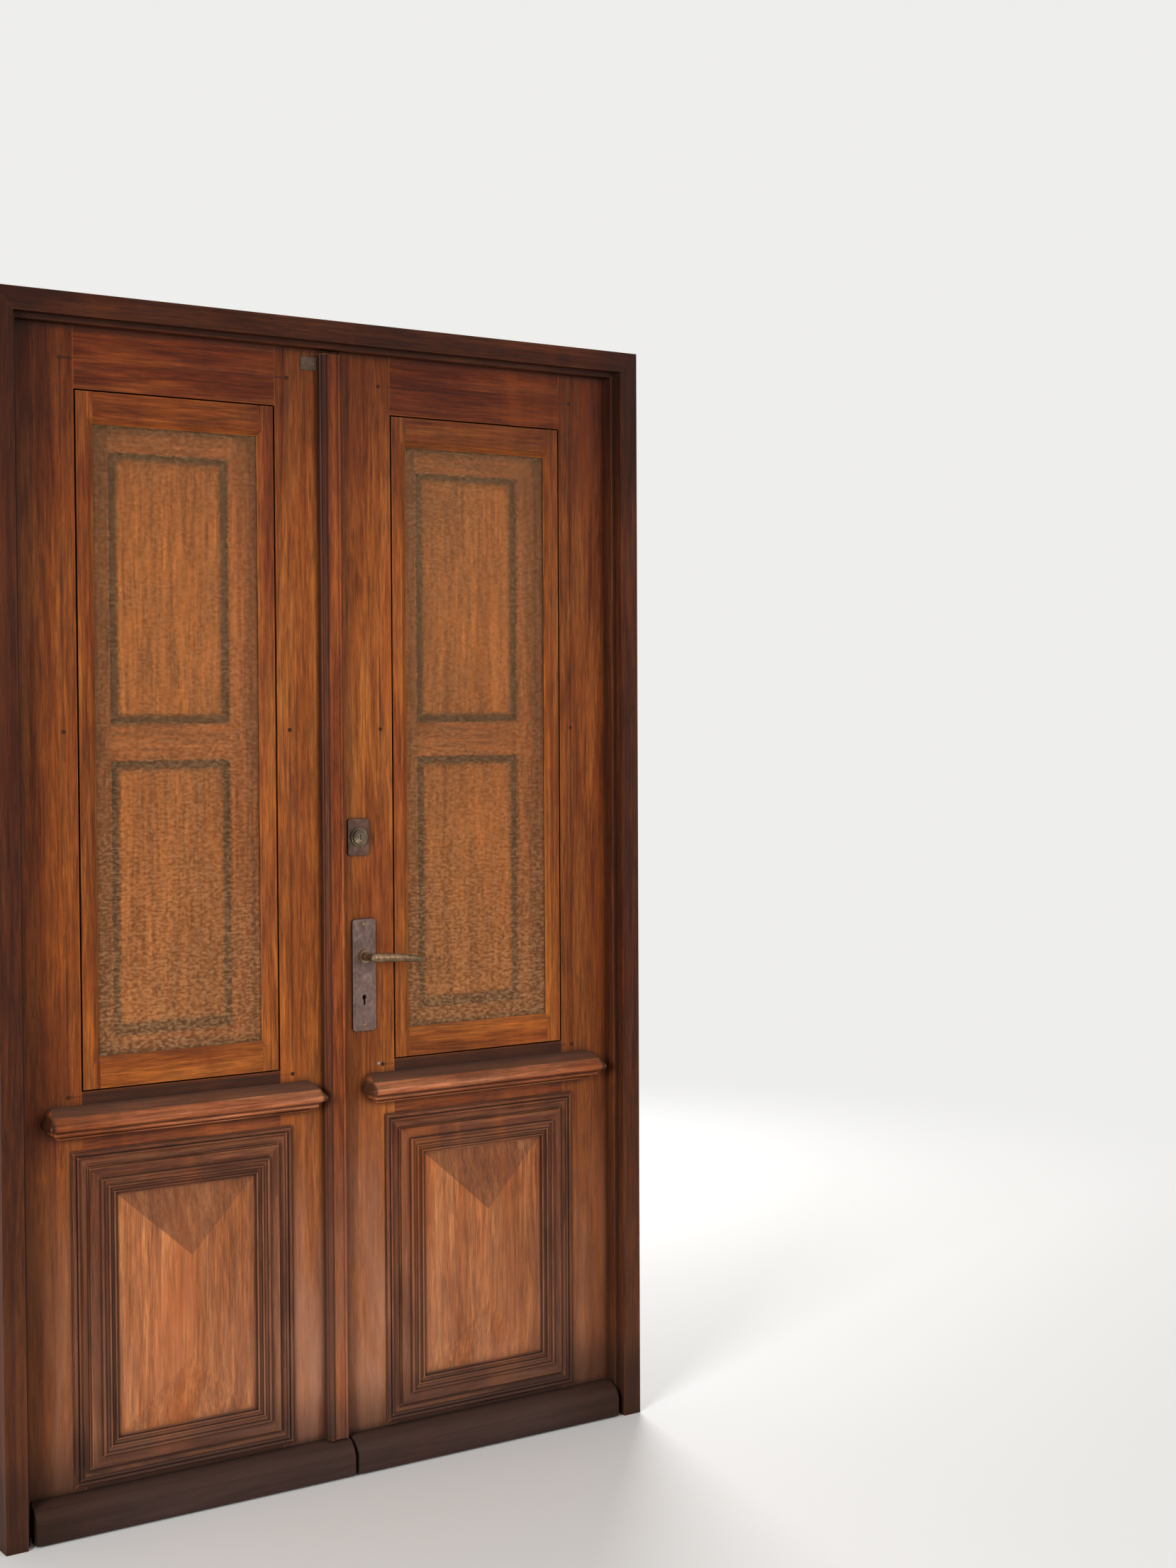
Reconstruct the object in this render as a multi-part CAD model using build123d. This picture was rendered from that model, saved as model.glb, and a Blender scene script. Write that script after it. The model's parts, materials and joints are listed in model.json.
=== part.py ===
from build123d import *
import math
import os

# A double-leaf panelled door in its frame, millimetres, +Z up, -Y outdoors.
# Origin: floor level, midway between the two glazed sashes, on the leaves' outer face.
# Everything that belongs to one leaf is drawn for the right-hand leaf and mirrored for the left.

# Frame
clear_width = 1287.0
clear_height = 2194.5
frame_face = 51.5
frame_front = 45.0
lip_front = 25.0
lip_face = 10.5
lip_cover = 10.0
lip_gap = 0.5
fixing_radius = 4.0
fixing_count = 4
fixing_start = 200.0
fixing_pitch = 600.0

# Leaves
leaf_thickness = 45.0
leaf_gap = 3.0
leaf_bottom = 6.0
meeting_x = 11.5
meeting_gap = 4.0
meeting_bevel = 3.5
top_rail = 122.5

# Sashes
sash_center = 326.5
sash_width = 394.0
sash_bottom = 808.0
sash_side_gap = 4.0
sash_end_gap = 3.0
sash_depth = 58.0
sash_stile = 32.5
sash_rail = 58.0
sash_bevel = 11.0
sash_bevel_depth = 5.0
sash_lip = 10.0
hinge_lip = 7.5
glass_front = 7.0
glass_thickness = 4.0
glass_bite = 8.0
rebate_bite = 8.5
fit = 0.3

# Shutters behind the glass
shutter_front = 38.0
shutter_bite = 13.5
shutter_gap = 2.0
shutter_stile = 54.5
shutter_end_rail = 55.5
shutter_foot_rail = 41.5
shutter_mid_rail = 68.0
shutter_lower_panel = 511.0
shutter_board_back = 4.0
shutter_field_rise = 6.0
shutter_field_bevel = 26.0
shutter_field_recess = 2.7

# Lower panels and their surrounds
surround_bottom = 78.3
surround_top_gap = 26.7
surround_lap = 23.0
moulding_width = 30.0
moulding_seat = 12.0
panel_front = 9.0
panel_back = 32.0
tongue_front = 14.0
tongue_back = 26.0
tongue_length = 10.0
field_offset = 87.0
field_edge = 8.0
field_ridge = 30.0
field_hip = 127.0

# Ledges and base boards
ledge_start = 50.0
ledge_end_gap = 37.5
ledge_drop = 81.0
board_front = 46.0
board_bottom = 4.0
board_nose = 45.0
board_top = 72.0
board_end_gap = 5.5
board_lean = 2.0

# Astragal on the left leaf
astragal_left = -35.0
astragal_right = 9.2
astragal_front = 21.0
astragal_bead = 3.0
astragal_top_gap = 8.5
cover_plate_width = 34.0
cover_plate_height = 25.0
cover_plate_thickness = 1.5
cover_plate_drop = 6.0

# Hinges
hinge_foot = 250.0
hinge_head = 254.5
hinge_height = 100.0
hinge_reach = 28.0
hinge_plate = 3.0
hinge_barrel = 6.5
hinge_pin = 3.5
sash_hinge_end = 195.0
sash_hinge_height = 70.0
sash_hinge_reach = 24.0
sash_hinge_plate = 2.5
sash_barrel = 5.0
sash_pin = 2.5
shutter_hinge_end = 275.0
shutter_hinge_height = 50.0
shutter_hinge_reach = 21.0
shutter_hinge_plate = 2.0
shutter_barrel = 4.5
shutter_pin = 2.25
running_clearance = 0.05
knuckle_gap = 0.5
pin_end_wall = 3.0

# Lock, latch and bolts
lock_x = 57.5
spindle_z = 1015.0
key_z = 934.0
plate_width = 51.0
plate_bottom = 868.0
plate_height = 220.0
plate_thickness = 4.0
spindle_side = 8.0
spindle_play = 0.02
knob_radius = 25.0
spindle_bore = 6.2
grip_reach = 112.0
grip_stand = 46.0
grip_height = 18.0
grip_thickness = 11.0
grip_droop = 10.0
grip_sides = 16
grip_swell = ((-0.07, 0.5), (0.0, 1.0), (0.3, 0.97), (0.6, 0.88), (0.9, 0.72), (1.0, 0.3))
key_radius = 5.0
key_slot = 5.0
key_length = 15.0
case_front = 12.0
case_back = 30.0
case_bottom = 900.0
case_top = 1080.0
case_reach = 92.0
forend_margin = 18.0
forend_thickness = 3.0
bolt_front = 15.0
bolt_back = 27.0
latch_height = 22.0
latch_throw = 11.0
latch_pocket = 60.0
deadbolt_height = 26.0
deadbolt_length = 46.0
cylinder_x = 47.0
cylinder_z = 1250.5
cylinder_radius = 14.0
plug_radius = 8.0
rim_depth = 23.0
rim_height = 90.0
rim_left = 20.0
rim_right = 95.0
keep_left = -35.0
keep_right = 5.0
bar_x = -22.0
bar_radius = 5.0
bar_stand = 10.0
bar_head_gap = 6.5
top_bar_length = 253.0
bar_foot = 14.0
foot_bar_length = 240.0

# Worked-out places
half_clear = clear_width / 2
jamb_outer = half_clear + frame_face
head_top = clear_height + frame_face
leaf_edge = half_clear + lip_cover
leaf_top = clear_height + lip_cover
opening_left = sash_center - sash_width / 2 - sash_side_gap
opening_right = sash_center + sash_width / 2 + sash_side_gap
opening_bottom = sash_bottom - sash_end_gap
opening_top = leaf_top - top_rail
sash_left = sash_center - sash_width / 2
sash_right = sash_center + sash_width / 2
sash_top = opening_top - sash_end_gap
sight_left = sash_left + sash_stile
sight_right = sash_right - sash_stile
sight_bottom = sash_bottom + sash_rail
sight_top = sash_top - sash_rail
ledge_bottom = opening_bottom - ledge_drop
surround_left = opening_left - surround_lap
surround_right = opening_right + surround_lap
surround_top = ledge_bottom - surround_top_gap
panel_left = opening_left
panel_right = opening_right
panel_bottom = surround_bottom + surround_lap
panel_top = surround_top - surround_lap
hinge_x = leaf_edge + leaf_gap / 2
hinge_y = leaf_thickness + 0.5 + hinge_barrel
sash_hinge_x = sash_right + hinge_lip + 0.5 + sash_barrel
sash_hinge_y = leaf_thickness + 1.0 + sash_barrel
shutter_left = sight_left - shutter_bite + shutter_gap
shutter_right = sight_right + shutter_bite - shutter_gap
shutter_bottom = sight_bottom - shutter_bite + shutter_gap
shutter_top = sight_top + shutter_bite - shutter_gap
shutter_hinge_x = shutter_left - shutter_gap / 2
shutter_hinge_y = sash_depth + fit + shutter_barrel
astragal_top = clear_height - astragal_top_gap
hinge_heights = (hinge_foot, (hinge_foot + leaf_top - hinge_head) / 2, leaf_top - hinge_head)
sash_hinge_heights = (sash_bottom + sash_hinge_end, sash_top - sash_hinge_end)
shutter_hinge_heights = (shutter_bottom + shutter_hinge_end, shutter_top - shutter_hinge_end)
top_bar = (leaf_top - bar_head_gap - top_bar_length, leaf_top - bar_head_gap)
foot_bar = (bar_foot, bar_foot + foot_bar_length)


def block(x, y, z):
    """Box between the given limits."""
    return Solid.make_box(x[1] - x[0], y[1] - y[0], z[1] - z[0], Plane((x[0], y[0], z[0])))


def rod(centre, axis, radius, length):
    """Cylinder that starts at centre and runs along axis."""
    return Solid.make_cylinder(radius, length, Plane(centre, z_dir=axis))


def prism(points, travel):
    """Flat polygon carried along a straight line."""
    return Solid.extrude(Face(Wire.make_polygon(points)), Vector(*travel))


def section(plane, start, *steps):
    """Closed outline in a plane: a step is a point, or a point on an arc and the arc's end."""
    edges = []
    here = start
    for step in steps:
        if isinstance(step[0], tuple):
            end = step[1]
            edges.append(Edge.make_three_point_arc(here, step[0], end))
        else:
            end = step
            edges.append(Edge.make_line(here, end))
        here = end
    edges.append(Edge.make_line(here, start))
    return plane * Face(Wire(edges))


def fused(parts):
    """One solid from touching pieces."""
    return parts[0].fuse(*parts[1:]).clean()


def mirrored(shapes):
    """The same pieces for the other hand."""
    return [mirror(shape, about=Plane.YZ) for shape in shapes]


def mitred_ring(x, z, width, outline):
    """Four lengths of one moulding, mitred round a rectangle; outline takes a section plane."""
    corners = [(x[0], z[0]), (x[1], z[0]), (x[1], z[1]), (x[0], z[1])]
    inner = [(x[0] + width, z[0] + width), (x[1] - width, z[0] + width),
             (x[1] - width, z[1] - width), (x[0] + width, z[1] - width)]
    inward = [(0, 0, 1), (-1, 0, 0), (0, 0, -1), (1, 0, 0)]
    lengths = []
    for side in range(4):
        here = corners[side]
        there = corners[(side + 1) % 4]
        run = Vector(there[0] - here[0], 0, there[1] - here[1])
        plane = Plane((here[0], 0, here[1]), x_dir=inward[side], z_dir=run.normalized())
        bar = Solid.extrude(outline(plane), run)
        wedge = [here, there, inner[(side + 1) % 4], inner[side]]
        reach = clear_width / 2
        clip = prism([(a, -reach, b) for a, b in wedge], (0, 2 * reach, 0))
        lengths.append(bar.intersect(clip).solid())
    return lengths


def stacked(x, levels):
    """Board whose section and ends follow (height, depth, end set-back) levels."""
    slices = []
    for low, high in zip(levels, levels[1:]):
        if high[0] > low[0]:
            wires = []
            for z, depth, back in (low, high):
                corners = [(x[0] + back, 0, z), (x[1] - back, 0, z),
                           (x[1] - back, -depth, z), (x[0] + back, -depth, z)]
                wires.append(Wire.make_polygon(corners))
            slices.append(Solid.make_loft(wires, ruled=True))
    return fused(slices)


def frame_outline(plane):
    """Section of jamb and head: t runs from the clear opening outwards, h towards outdoors."""
    ease = 2.0
    return section(plane, (0, lip_gap), (0, lip_front - ease),
                   ((ease * 0.3, lip_front - ease * 0.3), (ease, lip_front)),
                   (lip_face, lip_front), (lip_face, frame_front), (frame_face, frame_front),
                   (frame_face, -leaf_thickness), (lip_cover + leaf_gap, -leaf_thickness),
                   (lip_cover + leaf_gap, lip_gap))


def frame_members():
    """Head and two jambs, mitred at the top corners."""
    foot = Plane((half_clear, 0, 0), x_dir=(1, 0, 0), z_dir=(0, 0, -1))
    jamb = Solid.extrude(frame_outline(foot), Vector(0, 0, head_top))
    rebate = half_clear + lip_cover + leaf_gap
    for number in range(fixing_count):
        start = (rebate - 1, leaf_thickness / 2, fixing_start + number * fixing_pitch)
        jamb = jamb.cut(rod(start, (1, 0, 0), fixing_radius, frame_face))
    reach = clear_width
    mitre = prism([(half_clear - reach, -reach, -1), (jamb_outer + 1, -reach, -1),
                   (jamb_outer + 1, -reach, head_top + 1),
                   (half_clear - reach, -reach, clear_height - reach)], (0, 2 * reach, 0))
    end = Plane((-jamb_outer, 0, clear_height), x_dir=(0, 0, 1), z_dir=(1, 0, 0))
    head = Solid.extrude(frame_outline(end), Vector(2 * jamb_outer, 0, 0))
    roof = prism([(-half_clear, -reach, clear_height), (half_clear, -reach, clear_height),
                  (jamb_outer + 1, -reach, head_top + 1), (-jamb_outer - 1, -reach, head_top + 1)],
                 (0, 2 * reach, 0))
    right = jamb.intersect(mitre).solid()
    return head.intersect(roof).solid(), right


def meeting_line(edge, y):
    """Where the bevelled meeting edge stands at depth y."""
    return edge + meeting_bevel * y / leaf_thickness


def leaf_stiles(edge):
    """Hinge stile and bevelled meeting stile with the groove for the panel's tongue."""
    groove_z = (panel_bottom - tongue_length - fit, panel_top + tongue_length + fit)
    groove_y = (tongue_front - fit, tongue_back + fit)
    depth = tongue_length + fit
    hinge = block((opening_right, leaf_edge), (0, leaf_thickness), (leaf_bottom, leaf_top))
    hinge = hinge.cut(block((opening_right - 1, panel_right + depth), groove_y, groove_z))
    outline = [(edge, 0, leaf_bottom), (opening_left, 0, leaf_bottom),
               (opening_left, leaf_thickness, leaf_bottom),
               (meeting_line(edge, leaf_thickness), leaf_thickness, leaf_bottom)]
    meeting = prism(outline, (0, 0, leaf_top - leaf_bottom))
    meeting = meeting.cut(block((panel_left - depth, opening_left + 1), groove_y, groove_z))
    return hinge.solid(), meeting.solid()


def leaf_rails():
    """Top, lock and bottom rails between the stiles."""
    depth = tongue_length + fit
    groove_y = (tongue_front - fit, tongue_back + fit)
    span = (opening_left, opening_right)
    thick = (0, leaf_thickness)
    top = block(span, thick, (opening_top, leaf_top))
    lock = block(span, thick, (panel_top, opening_bottom))
    lock = lock.cut(block(span, groove_y, (panel_top - 1, panel_top + depth)))
    foot = block(span, thick, (leaf_bottom, panel_bottom))
    foot = foot.cut(block(span, groove_y, (panel_bottom - depth, panel_bottom + 1)))
    return [top, lock.solid(), foot.solid()]


def surround_outline(plane):
    """Applied moulding round the lower panel: two beads, a quirk and a cove."""
    seat = surround_lap + fit
    return section(plane, (0, 0), (0, 2.5), (1.5, 2.5), ((5.5, 6.5), (9.5, 2.5)), (10.5, 2.5),
                   ((13.5, 5.5), (16.5, 2.5)), (17.5, 2.5), ((23.0, 0.7), (28.0, 2.0)),
                   (moulding_width, 2.0), (moulding_width, -moulding_seat),
                   (seat, -moulding_seat), (seat, 0))


def terrace_outline(plane):
    """Stepped border of the raised panel, from the moulding to the edge of its field."""
    start = moulding_width + fit
    back = -tongue_front
    return section(plane, (start, back), (start, 5.0), (33.0, 5.0), (33.0, panel_front),
                   (53.0, panel_front), (53.0, 13.0), ((56.0, 15.5), (59.0, 13.0)), (59.0, 11.5),
                   (67.0, 11.5), (67.0, 13.5), ((69.0, 15.0), (71.0, 13.5)), (71.0, 10.5),
                   (78.0, 10.5), (78.0, 12.5), ((80.0, 14.0), (82.0, 12.5)), (82.0, field_edge),
                   (field_offset, field_edge), (field_offset, back))


def raised_panel():
    """Lower panel: tongued board, stepped border and a hipped field with a standing ridge."""
    outer = (surround_left, surround_right)
    rise = (surround_bottom, surround_top)
    tongue = block((panel_left - tongue_length, panel_right + tongue_length),
                   (tongue_front, tongue_back),
                   (panel_bottom - tongue_length, panel_top + tongue_length))
    board = block((panel_left + fit, panel_right - fit), (tongue_front, panel_back),
                  (panel_bottom + fit, panel_top - fit))
    border = mitred_ring(outer, rise, field_offset, terrace_outline)
    left = surround_left + field_offset
    right = surround_right - field_offset
    low = surround_bottom + field_offset
    high = surround_top - field_offset
    ridge_x = (left + right) / 2
    base = block((left, right), (-field_edge, tongue_front), (low, high))
    gable = prism([(left, -field_edge, low), (ridge_x, -field_ridge, low),
                   (right, -field_edge, low)], (0, 0, high - low))
    hips = prism([(left, -field_edge, low), (left, -field_ridge, low + field_hip),
                  (left, -field_ridge, high - field_hip), (left, -field_edge, high)],
                 (right - left, 0, 0))
    field = gable.intersect(hips).solid()
    return fused([tongue, board, base, field] + border)


def panel_mouldings():
    """Outdoor surround of the panel and the plainer beads that hold it indoors."""
    outdoors = mitred_ring((surround_left, surround_right), (surround_bottom, surround_top),
                           moulding_width, surround_outline)
    width = 14.0
    back = leaf_thickness - panel_back

    def bead_outline(plane):
        flip = -leaf_thickness
        return section(plane, (fit, flip), (fit, flip + back), (width, flip + back),
                       (width, flip + back - 4.0), ((width - 3.0, flip + 3.0), (4.0, flip)))
    indoors = mitred_ring((panel_left, panel_right), (panel_bottom, panel_top), width,
                          bead_outline)
    return outdoors + indoors


def ledge():
    """Weather ledge: sloped top, bold nose and two small beads, with returned ends."""
    x = (ledge_start, half_clear - ledge_end_gap)
    z = ledge_bottom
    levels = [(z, 12, 28), (z + 1, 21, 25), (z + 3.5, 24, 24), (z + 6, 21, 25), (z + 7, 28, 20),
              (z + 11, 37, 14), (z + 14, 38, 13), (z + 18, 36, 14), (z + 19, 43, 8),
              (z + 23, 50, 1.5), (z + 28, 52, 0), (z + 32, 51, 1), (z + 34.5, 48, 3),
              (z + 44, 36, 8), (z + 52, 18, 14), (z + 57.5, 2, 21)]
    return stacked(x, levels)


def base_board(edge):
    """Kick board: upright face below a moulded, sloping top."""
    far = half_clear - board_end_gap
    plane = Plane((edge, 0, 0), x_dir=(0, 0, 1), z_dir=(1, 0, 0))
    outline = section(plane, (board_bottom, 0), (board_bottom, board_front),
                      (board_nose - 2, board_front),
                      ((board_nose - 0.6, board_front - 0.6), (board_nose, board_front - 2)),
                      ((board_nose + 11, 38.5), (board_nose + 17.5, 31)),
                      (board_nose + 19.5, 31), (board_top - 5, 26), ((board_top - 1, 14), (board_top, 0)))
    bar = Solid.extrude(outline, Vector(far - edge, 0, 0))
    plan = prism([(edge, 0, 0), (far - 10, 0, 0), (far, -board_front / 3, 0),
                  (far, -board_front - 1, 0), (edge + board_lean, -board_front - 1, 0)],
                 (0, 0, board_top + 1))
    return bar.intersect(plan).solid()


def astragal():
    """Cover strip on the left leaf: stepped sides and a bead down each edge."""
    low = board_top + fit
    bead = 2 * astragal_bead
    inner_left = astragal_left + 4.0
    inner_right = astragal_right - 4.2
    foot = Plane((0, 0, low), x_dir=(1, 0, 0), z_dir=(0, 0, -1))
    outline = section(foot, (astragal_left, 0), (astragal_left, 11.0), (astragal_left + 2, 13.0),
                      (astragal_left + 2, 18.0), (inner_left, astragal_front),
                      ((inner_left + astragal_bead, astragal_front + astragal_bead),
                       (inner_left + bead, astragal_front)),
                      (inner_right - bead, astragal_front),
                      ((inner_right - astragal_bead, astragal_front + astragal_bead),
                       (inner_right, astragal_front)),
                      (astragal_right - 1.2, 18.0), (astragal_right, 13.0), (astragal_right, 0))
    return Solid.extrude(outline, Vector(0, 0, astragal_top - low))


def pane_frustum():
    """Bevelled mouth of the sash in front of the glass."""
    wires = []
    for grow, y in ((sash_bevel, 0.0), (0.0, sash_bevel_depth)):
        corners = [(sight_left - grow, y, sight_bottom - grow),
                   (sight_right + grow, y, sight_bottom - grow),
                   (sight_right + grow, y, sight_top + grow),
                   (sight_left - grow, y, sight_top + grow)]
        wires.append(Wire.make_polygon(corners))
    return Solid.make_loft(wires, ruled=True)


def grown(left, right, bottom, top, by, y):
    """Box round the sight size, larger by the same margin all round."""
    return block((left - by, right + by), y, (bottom - by, top + by))


def sash_frame():
    """Sash stiles and rails: bevelled front, glass rebate, shutter rebate and an indoor lip."""
    sight = (sight_left, sight_right, sight_bottom, sight_top)
    body = block((sash_left, sash_right), (0, sash_depth), (sash_bottom, sash_top))
    lip = block((sash_left - sash_lip, sash_right + hinge_lip), (leaf_thickness + 0.4, sash_depth),
                (sash_bottom - sash_lip, sash_top + sash_lip))
    whole = body.fuse(lip).cut(grown(*sight, 0, (-1, sash_depth + 1)), pane_frustum(),
                               grown(*sight, rebate_bite, (glass_front - fit, shutter_front)),
                               grown(*sight, shutter_bite, (shutter_front, sash_depth + 1))).clean()
    low = sash_bottom - 2 * sash_lip
    high = sash_top + 2 * sash_lip
    stiles = []
    for face, corner, far in ((sight_left - sash_bevel, sight_left, sash_left - 2 * sash_lip),
                              (sight_right + sash_bevel, sight_right, sash_right + 2 * sash_lip)):
        outline = [(far, -1, low), (face, -1, low), (face, -1, sight_bottom - sash_bevel),
                   (corner, -1, sight_bottom), (corner, -1, sight_top),
                   (face, -1, sight_top + sash_bevel), (face, -1, high), (far, -1, high)]
        stiles.append(prism(outline, (0, sash_depth + 2, 0)))
    pieces = [whole.intersect(stile).solid() for stile in stiles]
    rails = whole.cut(*stiles).solids()
    return pieces + list(rails)


def glass_pane():
    """Pane in the sash rebate."""
    return grown(sight_left, sight_right, sight_bottom, sight_top, glass_bite,
                 (glass_front, glass_front + glass_thickness))


def glazing_beads():
    """Four mitred beads that hold the pane from indoors."""
    front = glass_front + glass_thickness + fit

    def outline(plane):
        return section(plane, (fit, -front), (rebate_bite, -front),
                       (rebate_bite, -shutter_front + 2), (rebate_bite - 2, -shutter_front + fit),
                       (fit, -shutter_front + fit))
    return mitred_ring((sight_left - rebate_bite, sight_right + rebate_bite),
                       (sight_bottom - rebate_bite, sight_top + rebate_bite), rebate_bite, outline)


def shutter_boards():
    """Shutter stiles, rails and its two fielded panels."""
    front = shutter_front + fit
    thick = (front, sash_depth)
    inner = (shutter_left + shutter_stile, shutter_right - shutter_stile)
    span = (shutter_left, shutter_right)
    rise = (shutter_bottom, shutter_top)
    lower = (shutter_bottom + shutter_foot_rail,
             shutter_bottom + shutter_foot_rail + shutter_lower_panel)
    upper = (lower[1] + shutter_mid_rail, shutter_top - shutter_end_rail)
    frame = [block((span[0], inner[0]), thick, rise), block((inner[1], span[1]), thick, rise),
             block(inner, thick, (rise[0], lower[0])), block(inner, thick, (lower[1], upper[0])),
             block(inner, thick, (upper[1], rise[1]))]
    panels = []
    for low, high in (lower, upper):
        edge = front + shutter_field_recess + shutter_field_rise
        board = block(inner, (edge, sash_depth - shutter_board_back), (low, high))
        wires = []
        for shrink, y in ((0.0, edge), (shutter_field_bevel, front + shutter_field_recess)):
            wires.append(Wire.make_polygon([(inner[0] + shrink, y, low + shrink),
                                            (inner[1] - shrink, y, low + shrink),
                                            (inner[1] - shrink, y, high - shrink),
                                            (inner[0] + shrink, y, high - shrink)]))
        panels.append(fused([board, Solid.make_loft(wires, ruled=True)]))
    return frame, panels


def hinge_half(pin, z, size, plate, webs, pin_radius, carries_pin):
    """Half of a lift-off hinge: a lower knuckle with its pin, or an upper one that drops on it."""
    radius, height = size
    half = height / 2
    if carries_pin:
        span = (z - half, z - fit / 2)
        barrel = rod((*pin, span[0]), (0, 0, 1), radius, span[1] - span[0])
        shaft = rod((*pin, span[0]), (0, 0, 1), pin_radius, height - pin_end_wall - 1)
        pieces = [barrel, shaft]
    else:
        span = (z + fit / 2, z + half)
        bore = rod((*pin, z), (0, 0, 1), pin_radius + running_clearance, half - pin_end_wall)
        pieces = [rod((*pin, span[0]), (0, 0, 1), radius, span[1] - span[0])]
    pieces += [block(*web, span) for web in webs]
    solid = block(*plate, (z - half, z + half)).fuse(*pieces)
    if not carries_pin:
        solid = solid.cut(bore)
    return solid.clean().solid()


def leaf_hinges():
    """Hinges of a leaf: lower halves on the frame, upper halves on the leaf."""
    thick = (leaf_thickness, leaf_thickness + hinge_plate)
    clear = hinge_barrel + knuckle_gap
    near = leaf_gap / 2 + knuckle_gap
    size = (hinge_barrel, hinge_height)
    x = hinge_x
    fixed, moving = [], []
    for z in hinge_heights:
        fixed.append(hinge_half((x, hinge_y), z, size, ((x + clear, x + clear + hinge_reach), thick),
                                [((x + near, x + clear), thick)], hinge_pin, True))
        moving.append(hinge_half((x, hinge_y), z, size, ((x - clear - hinge_reach, x - clear), thick),
                                 [((x - clear, x - near), thick)], hinge_pin, False))
    return fixed, moving


def sash_hinges():
    """Cranked hinges of a sash: lower halves on the leaf, upper halves over the sash's lip."""
    clear = sash_barrel + knuckle_gap
    size = (sash_barrel, sash_hinge_height)
    on_leaf = (leaf_thickness, leaf_thickness + sash_hinge_plate)
    on_sash = (sash_depth, sash_depth + sash_hinge_plate)
    x = sash_hinge_x
    lip = sash_right + hinge_lip
    crank = lip + sash_hinge_plate
    fixed, moving = [], []
    for z in sash_hinge_heights:
        fixed.append(hinge_half((x, sash_hinge_y), z, size,
                                ((x + clear, x + clear + sash_hinge_reach), on_leaf),
                                [((x, x + clear), on_leaf)], sash_pin, True))
        webs = [((lip, crank), on_sash), ((lip + fit, crank), (sash_hinge_y, on_sash[1]))]
        moving.append(hinge_half((x, sash_hinge_y), z, size, ((lip - sash_hinge_reach, lip), on_sash),
                                 webs, sash_pin, False))
    return fixed, moving


def shutter_hinges():
    """Small hinges of a shutter: lower halves on the sash, upper halves on the shutter."""
    clear = shutter_barrel + knuckle_gap
    near = shutter_gap / 2 + knuckle_gap
    size = (shutter_barrel, shutter_hinge_height)
    thick = (sash_depth, sash_depth + shutter_hinge_plate)
    web = (sash_depth, shutter_hinge_y - knuckle_gap)
    x = shutter_hinge_x
    fixed, moving = [], []
    for z in shutter_hinge_heights:
        fixed.append(hinge_half((x, shutter_hinge_y), z, size,
                                ((x - clear - shutter_hinge_reach, x - clear), thick),
                                [((x - clear, x - near), web)], shutter_pin, True))
        moving.append(hinge_half((x, shutter_hinge_y), z, size,
                                 ((x + clear, x + clear + shutter_hinge_reach), thick),
                                 [((x + near, x + clear), web)], shutter_pin, False))
    return fixed, moving


def turn_button(x, z, base, length, stand):
    """Turn button that hangs from its pivot: a boss on the wood and a tapered tongue."""
    top = sash_depth + 0.4
    width = 7.0
    tongue = prism([(x - width, top, z + 4), (x + width, top, z + 4),
                    (x + width * 0.6, top, z - length), (x - width * 0.6, top, z - length)],
                   (0, stand, 0))
    shaft = rod((x, base, z), (0, 1, 0), 4.0, top - base + stand + 2)
    return fused([tongue, shaft])


def long_plate(back, front):
    """Long lock plate with eased ends, pierced for the spindle and the key."""
    x = (lock_x - plate_width / 2, lock_x + plate_width / 2)
    plate = block(x, (back, front), (plate_bottom, plate_bottom + plate_height))
    upright = [edge for edge in plate.edges() if abs((edge % 0.5).Y) > 0.9]
    plate = plate.fillet(6.0, upright)
    return plate.solid()


def key_cut(y):
    """Keyhole: a round head over a narrow slot."""
    head = rod((lock_x, y[0], key_z), (0, 1, 0), key_radius, y[1] - y[0])
    slot = block((lock_x - key_slot / 2, lock_x + key_slot / 2), y, (key_z - key_length, key_z))
    return head.fuse(slot).clean()


def edge_strip(edge, depth, z):
    """Metal strip let flush into a bevelled meeting edge."""
    outline = [(meeting_line(edge, case_front), case_front, z[0]),
               (meeting_line(edge, case_back), case_back, z[0]),
               (meeting_line(edge, case_back) + depth, case_back, z[0]),
               (meeting_line(edge, case_front) + depth, case_front, z[0])]
    return prism(outline, (0, 0, z[1] - z[0]))


def grip_ring(swell):
    """Oval cross-section of the lever's grip, with one corner for each flat side."""
    turns = [2 * math.pi * side / grip_sides for side in range(grip_sides)]
    return Polygon(*[(grip_thickness / 2 * swell * math.cos(turn),
                      grip_height / 2 * swell * math.sin(turn)) for turn in turns], align=None)


def lever():
    """Outdoor lever: neck, drooping tapered grip, and the square spindle through the leaf."""
    start = -plate_thickness - fit
    reach = grip_stand - plate_thickness
    neck = rod((lock_x, start, spindle_z), (0, -1, 0), 7.5, reach)
    collar = rod((lock_x, start, spindle_z), (0, -1, 0), 12.5, 5.0)
    rings = []
    for along, swell in grip_swell:
        centre = (lock_x + grip_reach * along, -grip_stand - 2 * (1 - along) * along,
                  spindle_z - grip_droop * along * abs(along))
        rings.append(Plane(centre, x_dir=(0, 1, 0), z_dir=(1, 0, 0)) * grip_ring(swell))
    grip = loft(rings, ruled=True).solid()
    spindle = block((lock_x - spindle_side / 2, lock_x + spindle_side / 2),
                    (start - 10, leaf_thickness + 12),
                    (spindle_z - spindle_side / 2, spindle_z + spindle_side / 2))
    return fused([neck, collar, grip, spindle])


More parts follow.
